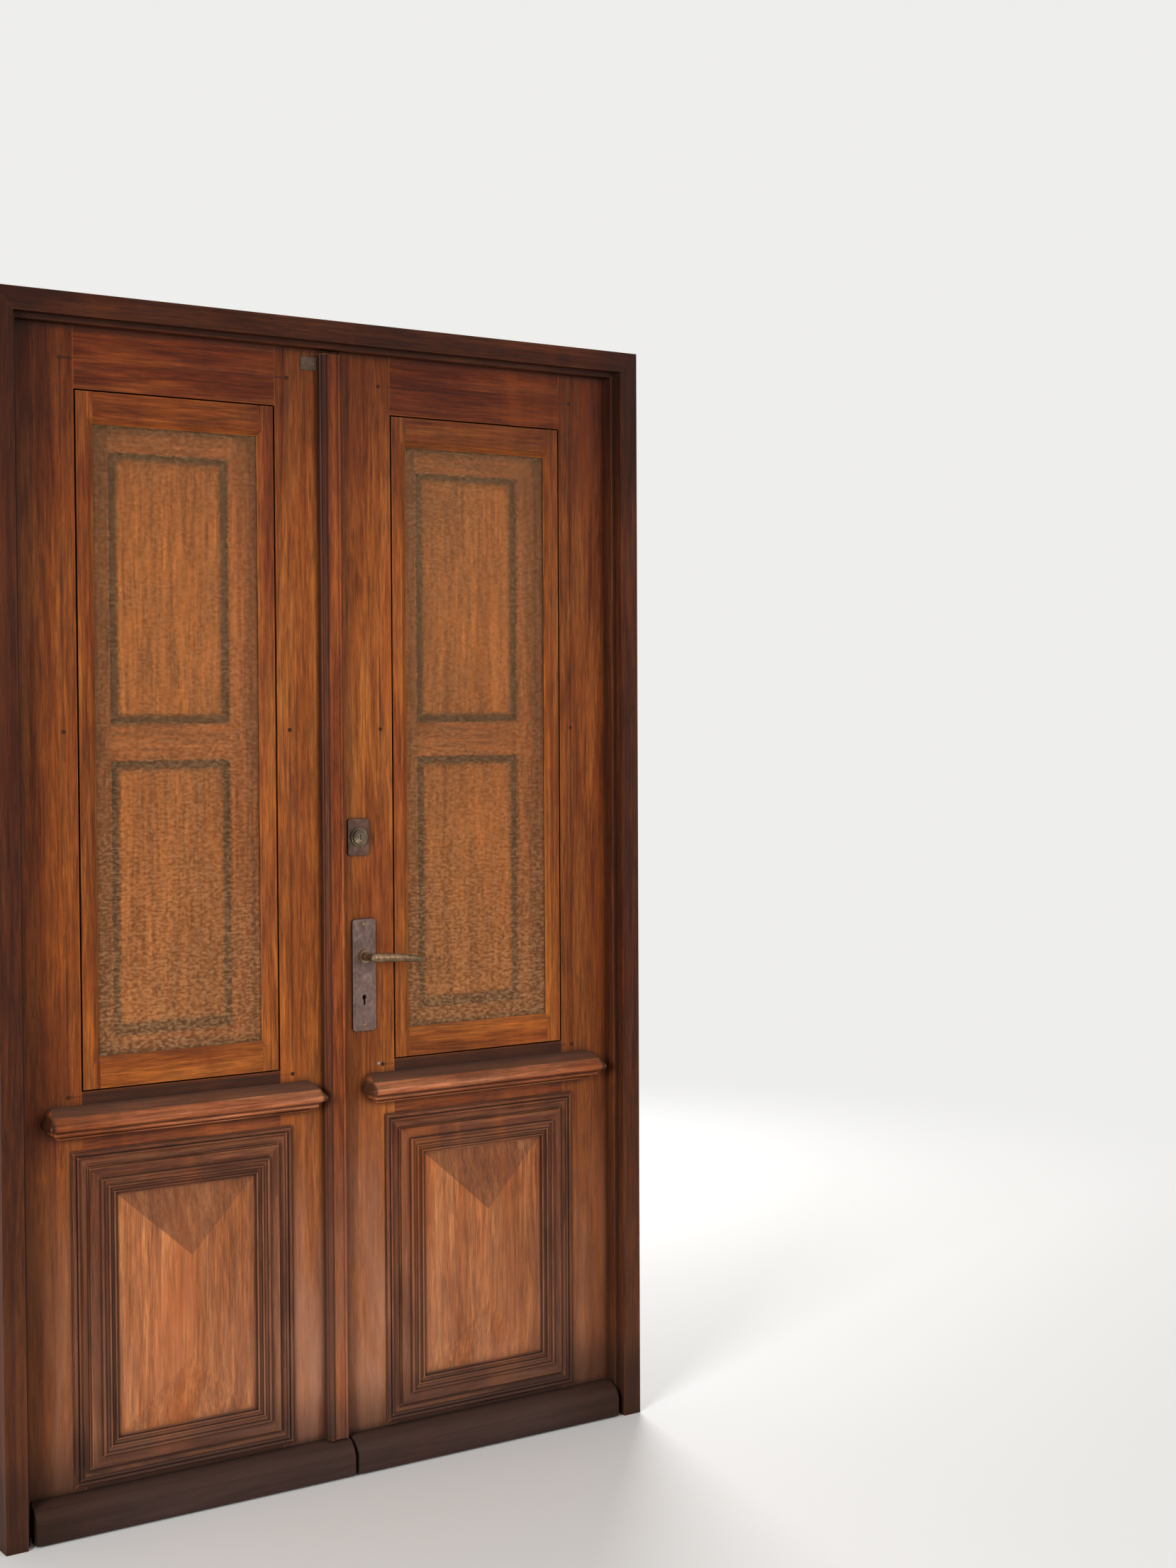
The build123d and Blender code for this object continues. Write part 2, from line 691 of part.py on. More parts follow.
def inner_knob():
    """Indoor knob on the same spindle."""
    base = leaf_thickness + plate_thickness + fit
    turned = Plane((lock_x, base, spindle_z), x_dir=(1, 0, 0), z_dir=(0, 0, 1))
    edges = [(0, 0), (knob_radius * 0.5, 0), (knob_radius * 0.5, 3), (knob_radius * 0.38, 9),
             (knob_radius * 0.5, 14), (knob_radius * 0.86, 18), (knob_radius, 24),
             (knob_radius * 0.94, 31), (knob_radius * 0.7, 36), (0, 39)]
    body = revolve(turned * Face(Wire.make_polygon(edges)),
                   Axis((lock_x, base, spindle_z), (0, 1, 0)), 360).solid()
    half = spindle_side / 2 + spindle_play
    socket = block((lock_x - half, lock_x + half), (base - 1, leaf_thickness + 12 + fit),
                   (spindle_z - half, spindle_z + half))
    return body.cut(socket).solid()


def lock_case(edge):
    """Mortise lock: case, forend, and ways for latch, bolt, spindle and key."""
    inner = meeting_line(edge, case_back) + forend_thickness
    body = block((inner - 1.5, case_reach), (case_front, case_back), (case_bottom, case_top))
    strip = edge_strip(edge, forend_thickness, (case_bottom - forend_margin,
                                                case_top + forend_margin))
    key_ways = [key_cut((0, bolt_front)), key_cut((bolt_back, leaf_thickness))]
    ways = [block((0, edge + latch_pocket), (bolt_front - fit, bolt_back + fit),
                  (spindle_z - latch_height / 2 - fit, spindle_z + latch_height / 2 + fit)),
            block((0, edge + deadbolt_length + 12), (bolt_front - fit, bolt_back + fit),
                  (key_z - deadbolt_height / 2 - fit, key_z + deadbolt_height / 2 + fit)),
            rod((lock_x, 0, spindle_z), (0, 1, 0), spindle_bore, leaf_thickness)]
    return strip.fuse(body).cut(*ways, *key_ways).clean().solid()


def latch_bolt(edge):
    """Spring latch with a bevelled nose."""
    tip = meeting_line(edge, bolt_back) - latch_throw
    low = spindle_z - latch_height / 2
    tail = lock_x - spindle_bore - latch_throw - fit
    outline = [(tip, bolt_back, low), (tip + 1, bolt_back - 3, low), (tip + 8, bolt_front, low),
               (tail, bolt_front, low), (tail, bolt_back, low)]
    return prism(outline, (0, 0, latch_height))


def deadbolt(edge):
    """Key-driven bolt, withdrawn behind the forend."""
    tip = meeting_line(edge, bolt_back) + 0.1
    return block((tip, tip + deadbolt_length), (bolt_front, bolt_back),
                 (key_z - deadbolt_height / 2, key_z + deadbolt_height / 2))


def bolt_pockets(edge):
    """Holes in the left leaf's edge that take latch and bolt."""
    depth = 18.0
    side = (bolt_front - 1, bolt_back + 1)
    return [block((edge - 1, edge + meeting_bevel + depth), side,
                  (key_z - deadbolt_height / 2 - 2, key_z + deadbolt_height / 2 + 2)),
            block((edge - 1, edge + meeting_bevel + depth), side,
                  (spindle_z - latch_height / 2 - 2, spindle_z + latch_height / 2 + 2))]


def cylinder_lock():
    """Round cylinder with its collar, and the plug that the key turns."""
    face = -12.0
    rear = leaf_thickness
    start = (cylinder_x, face, cylinder_z)
    body = rod(start, (0, 1, 0), cylinder_radius, rear - face)
    collar = rod((cylinder_x, -plate_thickness - 4, cylinder_z), (0, 1, 0), 18.0, 4.0)
    bore = rod((cylinder_x, face - 1, cylinder_z), (0, 1, 0), plug_radius, rear - face + 2)
    housing = body.fuse(collar).cut(bore).clean().solid()
    radius = plug_radius - running_clearance
    plug = rod((cylinder_x, face - 0.5, cylinder_z), (0, 1, 0), radius, rear - face - 4)
    slot = block((cylinder_x - 1.0, cylinder_x + 1.0), (face - 2, face + 6),
                 (cylinder_z - 5.0, cylinder_z + 5.0))
    return housing, plug.cut(slot).solid()


def cylinder_plate():
    """Small upper plate round the cylinder."""
    half = plate_width / 2 - 2.5
    plate = block((cylinder_x - half, cylinder_x + half), (-plate_thickness, 0),
                  (cylinder_z - 35.5, cylinder_z + 35.5))
    upright = [edge for edge in plate.edges() if abs((edge % 0.5).Y) > 0.9]
    hole = rod((cylinder_x, -plate_thickness - 1, cylinder_z), (0, 1, 0), cylinder_radius + 0.1,
               plate_thickness + 2)
    return plate.fillet(5.0, upright).cut(hole).solid()


def cover_plate():
    """Small blank plate high on the left leaf beside the astragal."""
    right = astragal_left - 1.0
    top = astragal_top - cover_plate_drop
    plate = block((right - cover_plate_width, right), (-cover_plate_thickness, 0),
                  (top - cover_plate_height, top))
    upright = [edge for edge in plate.edges() if abs((edge % 0.5).Y) > 0.9]
    return plate.fillet(1.5, upright).solid()


def rim_latch():
    """Night latch indoors: case, bolt, turn knob, and the keep on the other leaf."""
    wall = 2.5
    base = leaf_thickness
    z = (cylinder_z - rim_height / 2, cylinder_z + rim_height / 2)
    bolt_z = (cylinder_z - 15.0, cylinder_z + 15.0)
    bolt_y = (base + 7.0, base + 17.0)
    knob_x = 72.0
    case = block((rim_left, rim_right), (base, base + rim_depth), z)
    hollow = block((rim_left + wall, rim_right - wall), (base + wall, base + rim_depth - wall),
                   (z[0] + wall, z[1] - wall))
    mouth = block((rim_left - 1, rim_left + wall + 1), (bolt_y[0] - fit, bolt_y[1] + fit),
                  (bolt_z[0] - fit, bolt_z[1] + fit))
    stem_bore = rod((knob_x, base + rim_depth / 2, cylinder_z), (0, 1, 0), 4.0, rim_depth)
    case = case.cut(hollow, mouth, stem_bore).solid()
    bolt = block((rim_left + 0.5, rim_left + 38.0), bolt_y, bolt_z)
    top = base + rim_depth + fit
    stem = rod((knob_x, base + rim_depth - wall - 2, cylinder_z), (0, 1, 0),
               4.0 - running_clearance, wall + 6)
    disc = rod((knob_x, top, cylinder_z), (0, 1, 0), 11.0, 4.0)
    grip = block((knob_x - 3.0, knob_x + 3.0), (top, top + 16), (cylinder_z - 13, cylinder_z + 13))
    knob = fused([stem, disc, grip])
    keep = block((keep_left, keep_right), (base, base + rim_depth), (z[0] + 10, z[1] - 10))
    pocket = block((keep_left + wall, keep_right + 1), (bolt_y[0] - 2, bolt_y[1] + 2),
                   (bolt_z[0] - 2, bolt_z[1] + 2))
    return case, bolt, knob, keep.cut(pocket).solid()


def slide_bar(z, knob_z):
    """Round bar of a surface bolt with its finger knob."""
    y = leaf_thickness + bar_stand
    bar = rod((bar_x, y, z[0]), (0, 0, 1), bar_radius, z[1] - z[0])
    stem = rod((bar_x, y, knob_z), (0, 1, 0), bar_radius * 0.7, 12.0)
    button = Solid.make_cone(bar_radius * 0.8, bar_radius * 1.4, 7.0,
                             Plane((bar_x, y + 11.0, knob_z), z_dir=(0, 1, 0)))
    return fused([bar, stem, button])


def bar_guide(z, staples):
    """Back plate and staples that guide a surface bolt."""
    y = leaf_thickness
    half = 15.0
    height = 16.0
    parts = [block((bar_x - half, bar_x + half), (y, y + 2.5), z)]
    for low in staples:
        parts.append(block((bar_x - 9, bar_x + 9), (y + 2.5, y + bar_stand + 9),
                           (low, low + height)))
    bore = rod((bar_x, y + bar_stand, z[0] - 100), (0, 0, 1), bar_radius + running_clearance,
               z[1] - z[0] + 200)
    return parts[0].fuse(*parts[1:]).cut(bore).clean().solid()


def head_keep():
    """Keep on the head that takes the top bar."""
    low = head_top - 32.0
    body = block((bar_x - 13, bar_x + 13), (leaf_thickness, leaf_thickness + bar_stand + 9),
                 (low, low + 22))
    half = bar_radius + 1.5
    y = leaf_thickness + bar_stand
    hole = block((bar_x - half, bar_x + half), (y - half, y + half), (low - 1, head_top))
    return body.cut(hole).solid()


def save(name, solids):
    """Write one node."""
    shape = solids[0] if len(solids) == 1 else Compound(solids)
    export_step(shape, os.path.join("parts", name + ".step"))
    print(name, len(solids))


def build():
    """Make every node."""
    os.makedirs("parts", exist_ok=True)
    right_edge = meeting_x + meeting_gap / 2
    left_edge = -(meeting_x - meeting_gap / 2)
    head, jamb = frame_members()
    frame_halves, leaf_halves = leaf_hinges()
    leaf_sash_halves, sash_halves = sash_hinges()
    sash_shutter_halves, shutter_halves = shutter_hinges()
    shutter_frame, shutter_panels = shutter_boards()
    sash_button_x = sash_left - sash_lip - 16.0
    shutter_button_x = (sight_right + shutter_bite + sash_right + hinge_lip) / 2
    mid_z = (sash_bottom + sash_top) / 2
    both = {
        "jamb": [jamb],
        "frame_hinges": frame_halves,
        "leaf_rails": leaf_rails(),
        "panel": [raised_panel()],
        "panel_mouldings": panel_mouldings(),
        "ledge": [ledge()],
        "leaf_hinges": leaf_halves + leaf_sash_halves,
        "sash_frame": sash_frame(),
        "glass": [glass_pane()],
        "glazing_beads": glazing_beads(),
        "sash_hinges": sash_halves + sash_shutter_halves,
        "shutter_frame": shutter_frame,
        "shutter_panels": shutter_panels,
        "shutter_hinges": shutter_halves,
        "sash_button": [turn_button(sash_button_x, mid_z, leaf_thickness, 34.0, 4.0)],
        "shutter_button": [turn_button(shutter_button_x, mid_z + 60, sash_depth, 26.0, 3.0)],
    }
    for name, solids in both.items():
        save("right_" + name, solids)
        save("left_" + name, mirrored(solids))
    save("head", [head])

    spindle_way = rod((lock_x, -10, spindle_z), (0, 1, 0), spindle_bore, leaf_thickness + 20)
    cylinder_way = rod((cylinder_x, -10, cylinder_z), (0, 1, 0), cylinder_radius + 0.1,
                       leaf_thickness + 20)
    mortise = block((0, case_reach + fit), (case_front - 0.1, case_back + 0.1),
                    (case_bottom - fit, case_top + fit))
    strip_z = (case_bottom - forend_margin, case_top + forend_margin)
    recess = edge_strip(right_edge - 1, forend_thickness + 1, strip_z)
    hinge_stile, lock_stile = leaf_stiles(right_edge)
    lock_stile = lock_stile.cut(spindle_way, cylinder_way, mortise, recess,
                                key_cut((-1, leaf_thickness + 1))).solid()
    save("right_stiles", [hinge_stile, lock_stile])
    hinge_stile, meeting_stile = leaf_stiles(left_edge)
    recess = edge_strip(left_edge - 1, forend_thickness + 1, strip_z)
    meeting_stile = meeting_stile.cut(recess, *bolt_pockets(left_edge)).solid()
    save("left_stiles", mirrored([hinge_stile, meeting_stile]))
    strike = edge_strip(left_edge, forend_thickness, strip_z).cut(*bolt_pockets(left_edge)).solid()
    save("strike_plate", mirrored([strike]))
    save("right_base_board", [base_board(right_edge)])
    save("left_base_board", mirrored([base_board(left_edge)]))
    save("astragal", [astragal()])

    outer = long_plate(-plate_thickness, 0)
    collar_way = rod((lock_x, -10, spindle_z), (0, 1, 0), spindle_bore, leaf_thickness + 20)
    save("outer_plate", [outer.cut(collar_way, key_cut((-plate_thickness - 1, 1))).solid()])
    inner = long_plate(leaf_thickness, leaf_thickness + plate_thickness)
    key_way = key_cut((leaf_thickness - 1, leaf_thickness + plate_thickness + 1))
    save("inner_plate", [inner.cut(collar_way, key_way).solid()])
    save("cover_plate", [cover_plate()])
    save("outer_lever", [lever()])
    save("inner_knob", [inner_knob()])
    save("lock_case", [lock_case(right_edge)])
    save("latch_bolt", [latch_bolt(right_edge)])
    save("deadbolt", [deadbolt(right_edge)])
    housing, plug = cylinder_lock()
    save("cylinder", [housing])
    save("cylinder_plug", [plug])
    save("cylinder_plate", [cylinder_plate()])
    case, bolt, knob, keep = rim_latch()
    save("rim_latch_case", [case])
    save("rim_latch_bolt", [bolt])
    save("rim_latch_knob", [knob])
    save("rim_keep", [keep])
    top_staples = (top_bar[0] + 10, top_bar[1] - 40)
    foot_staples = (foot_bar[0] + 24, foot_bar[1] - 30)
    save("top_bolt", [slide_bar(top_bar, top_bar[0] + 60)])
    save("bottom_bolt", [slide_bar(foot_bar, foot_bar[1] - 70)])
    save("bolt_guides", [bar_guide((top_bar[0], top_bar[1] - 10), top_staples),
                         bar_guide((foot_bar[0] + 14, foot_bar[1]), foot_staples)])
    save("head_keep", [head_keep()])


build()
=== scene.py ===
import json
import math

import bpy
from mathutils import Matrix, Vector


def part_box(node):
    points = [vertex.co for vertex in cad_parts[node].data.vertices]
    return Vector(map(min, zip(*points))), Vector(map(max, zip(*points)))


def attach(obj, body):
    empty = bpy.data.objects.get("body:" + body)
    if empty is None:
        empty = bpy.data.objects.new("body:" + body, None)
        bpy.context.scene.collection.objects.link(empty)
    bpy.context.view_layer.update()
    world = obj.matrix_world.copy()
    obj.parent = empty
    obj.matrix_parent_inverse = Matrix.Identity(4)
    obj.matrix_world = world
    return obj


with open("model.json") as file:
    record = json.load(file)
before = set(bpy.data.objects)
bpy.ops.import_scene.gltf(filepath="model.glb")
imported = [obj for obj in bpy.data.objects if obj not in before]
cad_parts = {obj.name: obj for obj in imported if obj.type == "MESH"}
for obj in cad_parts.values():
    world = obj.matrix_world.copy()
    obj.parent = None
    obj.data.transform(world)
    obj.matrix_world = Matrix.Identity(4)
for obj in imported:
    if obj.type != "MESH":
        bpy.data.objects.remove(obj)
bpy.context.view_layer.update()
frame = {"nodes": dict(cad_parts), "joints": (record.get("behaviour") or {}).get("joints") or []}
nodes = frame["nodes"]
pins = {joint["name"]: joint["pos_m"] for joint in frame["joints"]}
sides = ("right", "left")
print("frame loaded:", len(nodes), "nodes")


# small tools for finding places on the frame

def between(low, high, insets):
    # an inset above 0 is from the low end, one below 0 from the high end, and 0 is the middle
    starts = {True: low, False: high}
    return [(low + high) / 2 if inset == 0 else starts[inset > 0] + inset for inset in insets]


def outline(node, border):
    # half sizes and middle height of a node seen from the front, less a border all round
    low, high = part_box(node)
    return {"halfWidth": (high[0] - low[0]) / 2 - border,
            "halfHeight": (high[2] - low[2]) / 2 - border, "middle": (low[2] + high[2]) / 2}


# small tools for building materials

def tone(red, green, blue):
    # a display colour, 0 to 255, made linear by the sRGB curve
    def linear(value):
        value = value / 255
        return value / 12.92 if value <= 0.04045 else ((value + 0.055) / 1.055) ** 2.4
    return (linear(red), linear(green), linear(blue), 1.0)


def feed(tree, node, inputs):
    # a socket is linked, a plain value is set
    for key, value in inputs.items():
        if isinstance(value, bpy.types.NodeSocket):
            tree.links.new(value, node.inputs[key])
        else:
            node.inputs[key].default_value = value


def add(tree, kind, inputs=None, **settings):
    made = tree.nodes.new("ShaderNode" + kind)
    for key, value in settings.items():
        setattr(made, key, value)
    feed(tree, made, inputs or {})
    return made


def maths(tree, operation, first, second=0.0, clamp=False):
    return add(tree, "Math", {0: first, 1: second}, operation=operation, use_clamp=clamp).outputs[0]


def plus(tree, first, second, clamp=False):
    return maths(tree, "ADD", first, second, clamp)


def minus(tree, first, second):
    return maths(tree, "SUBTRACT", first, second)


def times(tree, first, second):
    return maths(tree, "MULTIPLY", first, second)


def larger(tree, first, second):
    return maths(tree, "MAXIMUM", first, second)


def absolute(tree, value):
    return maths(tree, "ABSOLUTE", value)


def fade(tree, value, start, end, low=0.0, high=1.0):
    span = {"Value": value, "From Min": start, "From Max": end, "To Min": low, "To Max": high}
    return add(tree, "MapRange", span, interpolation_type="SMOOTHSTEP").outputs["Result"]


def blendColours(tree, amount, first, second, how="MIX"):
    mixed = add(tree, "Mix", {0: amount, 6: first, 7: second}, data_type="RGBA", blend_type=how)
    return mixed.outputs[2]


def blendShaders(tree, amount, first, second):
    return add(tree, "MixShader", {0: amount, 1: first.outputs[0], 2: second.outputs[0]})


def scaleColour(tree, colour, factor):
    grey = add(tree, "CombineColor", {0: factor, 1: factor, 2: factor}).outputs[0]
    return blendColours(tree, 1.0, colour, grey, "MULTIPLY")


def ramp(tree, value, places, tones):
    made = add(tree, "ValToRGB", {"Fac": value})
    points = made.color_ramp.elements
    while len(points) < len(places):
        points.new(0.5)
    for point, place, colour in zip(points, places, tones):
        point.position = place
        point.color = colour
    return made.outputs["Color"]


def stretched(tree, place, scale, shift=0.0):
    moved = add(tree, "Mapping", {"Vector": place, "Scale": scale, "Location": (shift, shift, shift)})
    return moved.outputs["Vector"]


def cloud(tree, place, pattern, shift=0.0):
    # a pattern is its scale, detail, roughness, distortion and own shift
    scale, detail, roughness, distortion, ownShift = pattern
    settings = {"Vector": stretched(tree, place, scale, shift + ownShift), "Scale": 1.0,
                "Detail": detail, "Roughness": roughness, "Distortion": distortion}
    return add(tree, "TexNoise", settings).outputs["Fac"]


opennessSamples = 6


def openness(tree, reach, inside=False):
    # 1 on open faces and less in corners, or with inside, less along the piece's own edges
    made = add(tree, "AmbientOcclusion", {"Distance": reach}, samples=opennessSamples,
               inside=inside, only_local=inside)
    return made.outputs["AO"]


def bumped(tree, height, strength, distance):
    bump = add(tree, "Bump", {"Height": height, "Strength": strength, "Distance": distance})
    return bump.outputs["Normal"]


def blankMaterial(name):
    material = bpy.data.materials.new(name)
    material.use_nodes = True
    tree = material.node_tree
    return material, tree, tree.nodes["Principled BSDF"]


def objectPlace(tree):
    return add(tree, "TexCoord").outputs["Object"]


def axes(tree, vector):
    return add(tree, "SeparateXYZ", {"Vector": vector}).outputs


def dress(names, material):
    for name in names:
        piece = nodes[name]
        if not piece.material_slots:
            piece.data.materials.append(material)
        for held in piece.material_slots:
            held.material = material


# varnished hardwood: which way the grain runs

leafCentre = 0.3265


def pastEdges(tree, x, z, upright):
    # how far a point is beyond an upright rectangle on its leaf, sideways and up or down
    fromCentre = absolute(tree, minus(tree, absolute(tree, x), leafCentre))
    fromMiddle = absolute(tree, minus(tree, z, upright["middle"]))
    return (minus(tree, fromCentre, upright["halfWidth"]),
            minus(tree, fromMiddle, upright["halfHeight"]))


def acrossMask(tree, look, x, z):
    # 1 where the boards run sideways, 0 where they stand upright
    if look["grain"] in ("level", "upright"):
        return 1.0 if look["grain"] == "level" else 0.0
    beside, above = pastEdges(tree, x, z, look)
    if look["grain"] == "butted":
        return maths(tree, "LESS_THAN", beside, 0.0)
    turned = maths(tree, "GREATER_THAN", above, beside)
    if look["grain"] == "fielded":
        return times(tree, turned, maths(tree, "GREATER_THAN", above, 0.0))
    return turned


def grainPlace(tree, look, place, x, y, z):
    across = acrossMask(tree, look, x, z)
    lying = add(tree, "CombineXYZ", {0: z, 1: y, 2: x}).outputs[0]
    turned = add(tree, "Mix", {0: across, 4: place, 5: lying}, data_type="VECTOR")
    return turned.outputs[1]


# varnished hardwood: the bare wood

# scale, detail, roughness, distortion and shift of each pattern
grainPatterns = {
    "figure": ((34, 34, 1.9), 6.0, 0.64, 0.9, 0.0),
    "fibres": ((380, 380, 18), 4.0, 0.70, 0.2, 0.0),
    "flecks": ((170, 170, 13), 3.0, 0.62, 0.5, 2.0),
    "pores": ((1100, 1100, 32), 1.0, 0.50, 0.0, 0.0),
    "streaks": ((130, 130, 3.2), 4.0, 0.66, 0.4, 1.0),
    "patches": ((16, 16, 2.4), 5.0, 0.66, 0.8, 7.0),
}
wholePatterns = {
    "blotch": ((3.4, 3.4, 1.9), 4.0, 0.60, 0.4, 0.0),
    "redness": ((8, 8, 2.4), 4.0, 0.62, 0.6, 5.0),
    "glow": ((7, 7, 0.8), 3.0, 0.60, 0.5, 3.0),
}
ringPattern = {"Scale": 26.0, "Distortion": 9.0, "Detail": 3.0, "Detail Scale": 1.3}
ringStretch = (1, 1, 0.06)

# where each pattern starts and ends, and what it multiplies the colour by there
grainShades = {
    "rings": (0.0, 0.5, 0.90, 1.02),
    "flecks": (0.38, 0.58, 0.76, 1.10),
    "streaks": (0.36, 0.60, 0.74, 1.10),
    "fibres": (0.36, 0.62, 0.74, 1.12),
    "pores": (0.62, 0.70, 1.0, 0.72),
    "blotch": (0.30, 0.70, 0.80, 1.12),
}
toneStops = (0.28, 0.50, 0.72)
fieldEdge = (-0.001, 0.001)
redTone = tone(112, 44, 18)
redSpan = (0.48, 0.68)

varnish = (tone(96, 40, 10), tone(142, 74, 24), tone(174, 102, 38))
redVarnish = (tone(88, 34, 10), tone(130, 62, 22), tone(162, 88, 36))
wornVarnish = (tone(122, 62, 30), tone(162, 94, 50), tone(192, 124, 72))
darkVarnish = (tone(66, 32, 17), tone(94, 50, 28), tone(120, 70, 42))
boardVarnish = (tone(36, 25, 23), tone(56, 39, 36), tone(78, 57, 52))
# darker varnish of the mouldings and the panel's border, partly their own tone and partly painted
# shade of their deep profiles
shadedMouldingVarnish = (tone(66, 30, 18), tone(104, 56, 34), tone(138, 84, 54))
ledgeVarnish = (tone(114, 56, 31), tone(170, 97, 60), tone(196, 128, 87))
shutterVarnish = (tone(118, 60, 22), tone(150, 84, 36), tone(173, 102, 50))
shutterPanelVarnish = (tone(128, 70, 26), tone(161, 95, 39), tone(182, 112, 54))


def woodPatterns(tree, look, place, along):
    shift = look["shift"]
    patterns = {name: cloud(tree, along, pattern, shift) for name, pattern in grainPatterns.items()}
    for name, pattern in wholePatterns.items():
        patterns[name] = cloud(tree, place, pattern, shift)
    ringPlace = stretched(tree, along, ringStretch, shift)
    patterns["rings"] = add(tree, "TexWave", {"Vector": ringPlace, **ringPattern},
                            wave_type="BANDS", bands_direction="X").outputs["Fac"]
    return patterns


def bareWood(tree, look, patterns, x, z):
    figure = patterns["figure"]
    colour = ramp(tree, figure, toneStops, look["tones"])
    if look["grain"] == "fielded":
        beside, above = pastEdges(tree, x, z, look)
        border = fade(tree, larger(tree, beside, above), *fieldEdge)
        colour = blendColours(tree, border, colour, ramp(tree, figure, toneStops, shadedMouldingVarnish))
    redness = times(tree, fade(tree, patterns["redness"], *redSpan), look["red"])
    colour = blendColours(tree, redness, colour, redTone)
    for name, (start, end, low, high) in grainShades.items():
        strength = look["streak"] if name == "streaks" else 1.0
        shade = fade(tree, patterns[name], start, end,
                     1.0 + (low - 1.0) * strength, 1.0 + (high - 1.0) * strength)
        colour = scaleColour(tree, colour, shade)
    return colour


# varnished hardwood: what sun, rain, dust and hands have done to it, and painted shade in corners and
# creases, towards the top, on the hinge side and in the band above the ledge; faces that tilt upward
# are darkened too

# a span is where an effect starts and where it is full, and then its values there;
# a height is in metres above the floor
weatherAndShade = {
    "glowTone": tone(180, 94, 34),
    "glowSpan": (0.52, 0.70),
    "dustTone": tone(170, 122, 98),
    "dustHeights": (0.86, 0.18),
    "patchSpan": (0.34, 0.66, 0.35, 1.0),
    "splashTone": tone(52, 36, 32),
    "splashUneven": 0.16,
    "splashFade": 0.08,
    # the colour of all painted shade on the wood, then the reach and span of the painted shade in
    # corners and creases
    "grimeTone": tone(34, 20, 14),
    "cornerShadeReach": 0.018,
    "cornerShadeSpan": (0.98, 0.50),
    # tint and heights of the painted shade towards the top of the door
    "topShadeTint": (0.44, 0.335, 0.20, 1.0),
    "topShadeHeights": (1.66, 2.24),
    # tint and span of the painted shade on the hinge side
    "hingeSideShadeTint": (0.53, 0.43, 0.30, 1.0),
    "hingeSideShadeSpan": (0.40, 0.67),
    "slopeTone": tone(74, 46, 34),
    "slopeSpan": (0.02, 0.20),
    "settledTone": tone(78, 58, 48),
    "settledFull": 0.95,
    # where the painted shade in the band above the ledge starts and ends
    "gapShadeFoot": (0.770, 0.782),
    "gapShadeTop": (0.812, 0.800),
    "edgeReach": 0.003,
    "edgeSpan": (0.80, 0.45),
    "edgePatches": (0.4, 0.9),
    "edgeWear": 0.40,
}

# the faint line through the old screw holes round each sash
stainLine = {
    "tone": tone(52, 27, 16),
    "halfWidth": 0.227,
    "halfHeight": 0.6695,
    "middle": 1.4665,
    "width": (0.0030, 0.0008),
    "patches": (0.3, 0.9),
}


def stainMask(tree, look, patches, x, z):
    beside, above = pastEdges(tree, x, z, stainLine)
    offLine = absolute(tree, larger(tree, beside, above))
    lined = times(tree, fade(tree, offLine, *stainLine["width"]),
                  fade(tree, patches, *stainLine["patches"]))
    return times(tree, lined, look["stain"])


def weatherAndShadeMasks(tree, look, patterns, x, z):
    patches = fade(tree, patterns["patches"], *weatherAndShade["patchSpan"])
    low = fade(tree, z, *weatherAndShade["dustHeights"])
    splashLine = plus(tree, z, times(tree, patterns["blotch"], -weatherAndShade["splashUneven"]))
    facingUp = axes(tree, add(tree, "NewGeometry").outputs["Normal"])["Z"]
    # painted shade in the band between the ledge and the sash
    strip = times(tree, fade(tree, z, *weatherAndShade["gapShadeFoot"]), fade(tree, z, *weatherAndShade["gapShadeTop"]))
    edges = fade(tree, openness(tree, weatherAndShade["edgeReach"], True), *weatherAndShade["edgeSpan"])
    rubbed = times(tree, edges, fade(tree, patches, *weatherAndShade["edgePatches"]))
    return {
        "glow": times(tree, fade(tree, patterns["glow"], *weatherAndShade["glowSpan"]), look["glow"]),
        "dust": times(tree, times(tree, low, patches), look["dust"]),
        "splash": fade(tree, splashLine, look["splashTop"] - weatherAndShade["splashFade"], 0.0,
                       0.0, look["splash"]),
        "stain": stainMask(tree, look, patches, x, z),
        # painted shade towards the top of the door
        "topShade": fade(tree, z, *weatherAndShade["topShadeHeights"]),
        # painted shade on the hinge side
        "hingeSideShade": fade(tree, absolute(tree, x), *weatherAndShade["hingeSideShadeSpan"]),
        # faces that tilt a little upward are darkened
        "slope": fade(tree, facingUp, *weatherAndShade["slopeSpan"], 0.0, look["slope"]),
        "settled": fade(tree, facingUp, look["settleFrom"], weatherAndShade["settledFull"],
                        0.0, look["settle"]),
        "strip": times(tree, strip, look["strip"]),
        # painted shade in corners and creases
        "grime": fade(tree, openness(tree, weatherAndShade["cornerShadeReach"]), *weatherAndShade["cornerShadeSpan"],
                      0.0, look["grime"]),
        "edge": times(tree, rubbed, weatherAndShade["edgeWear"]),
    }


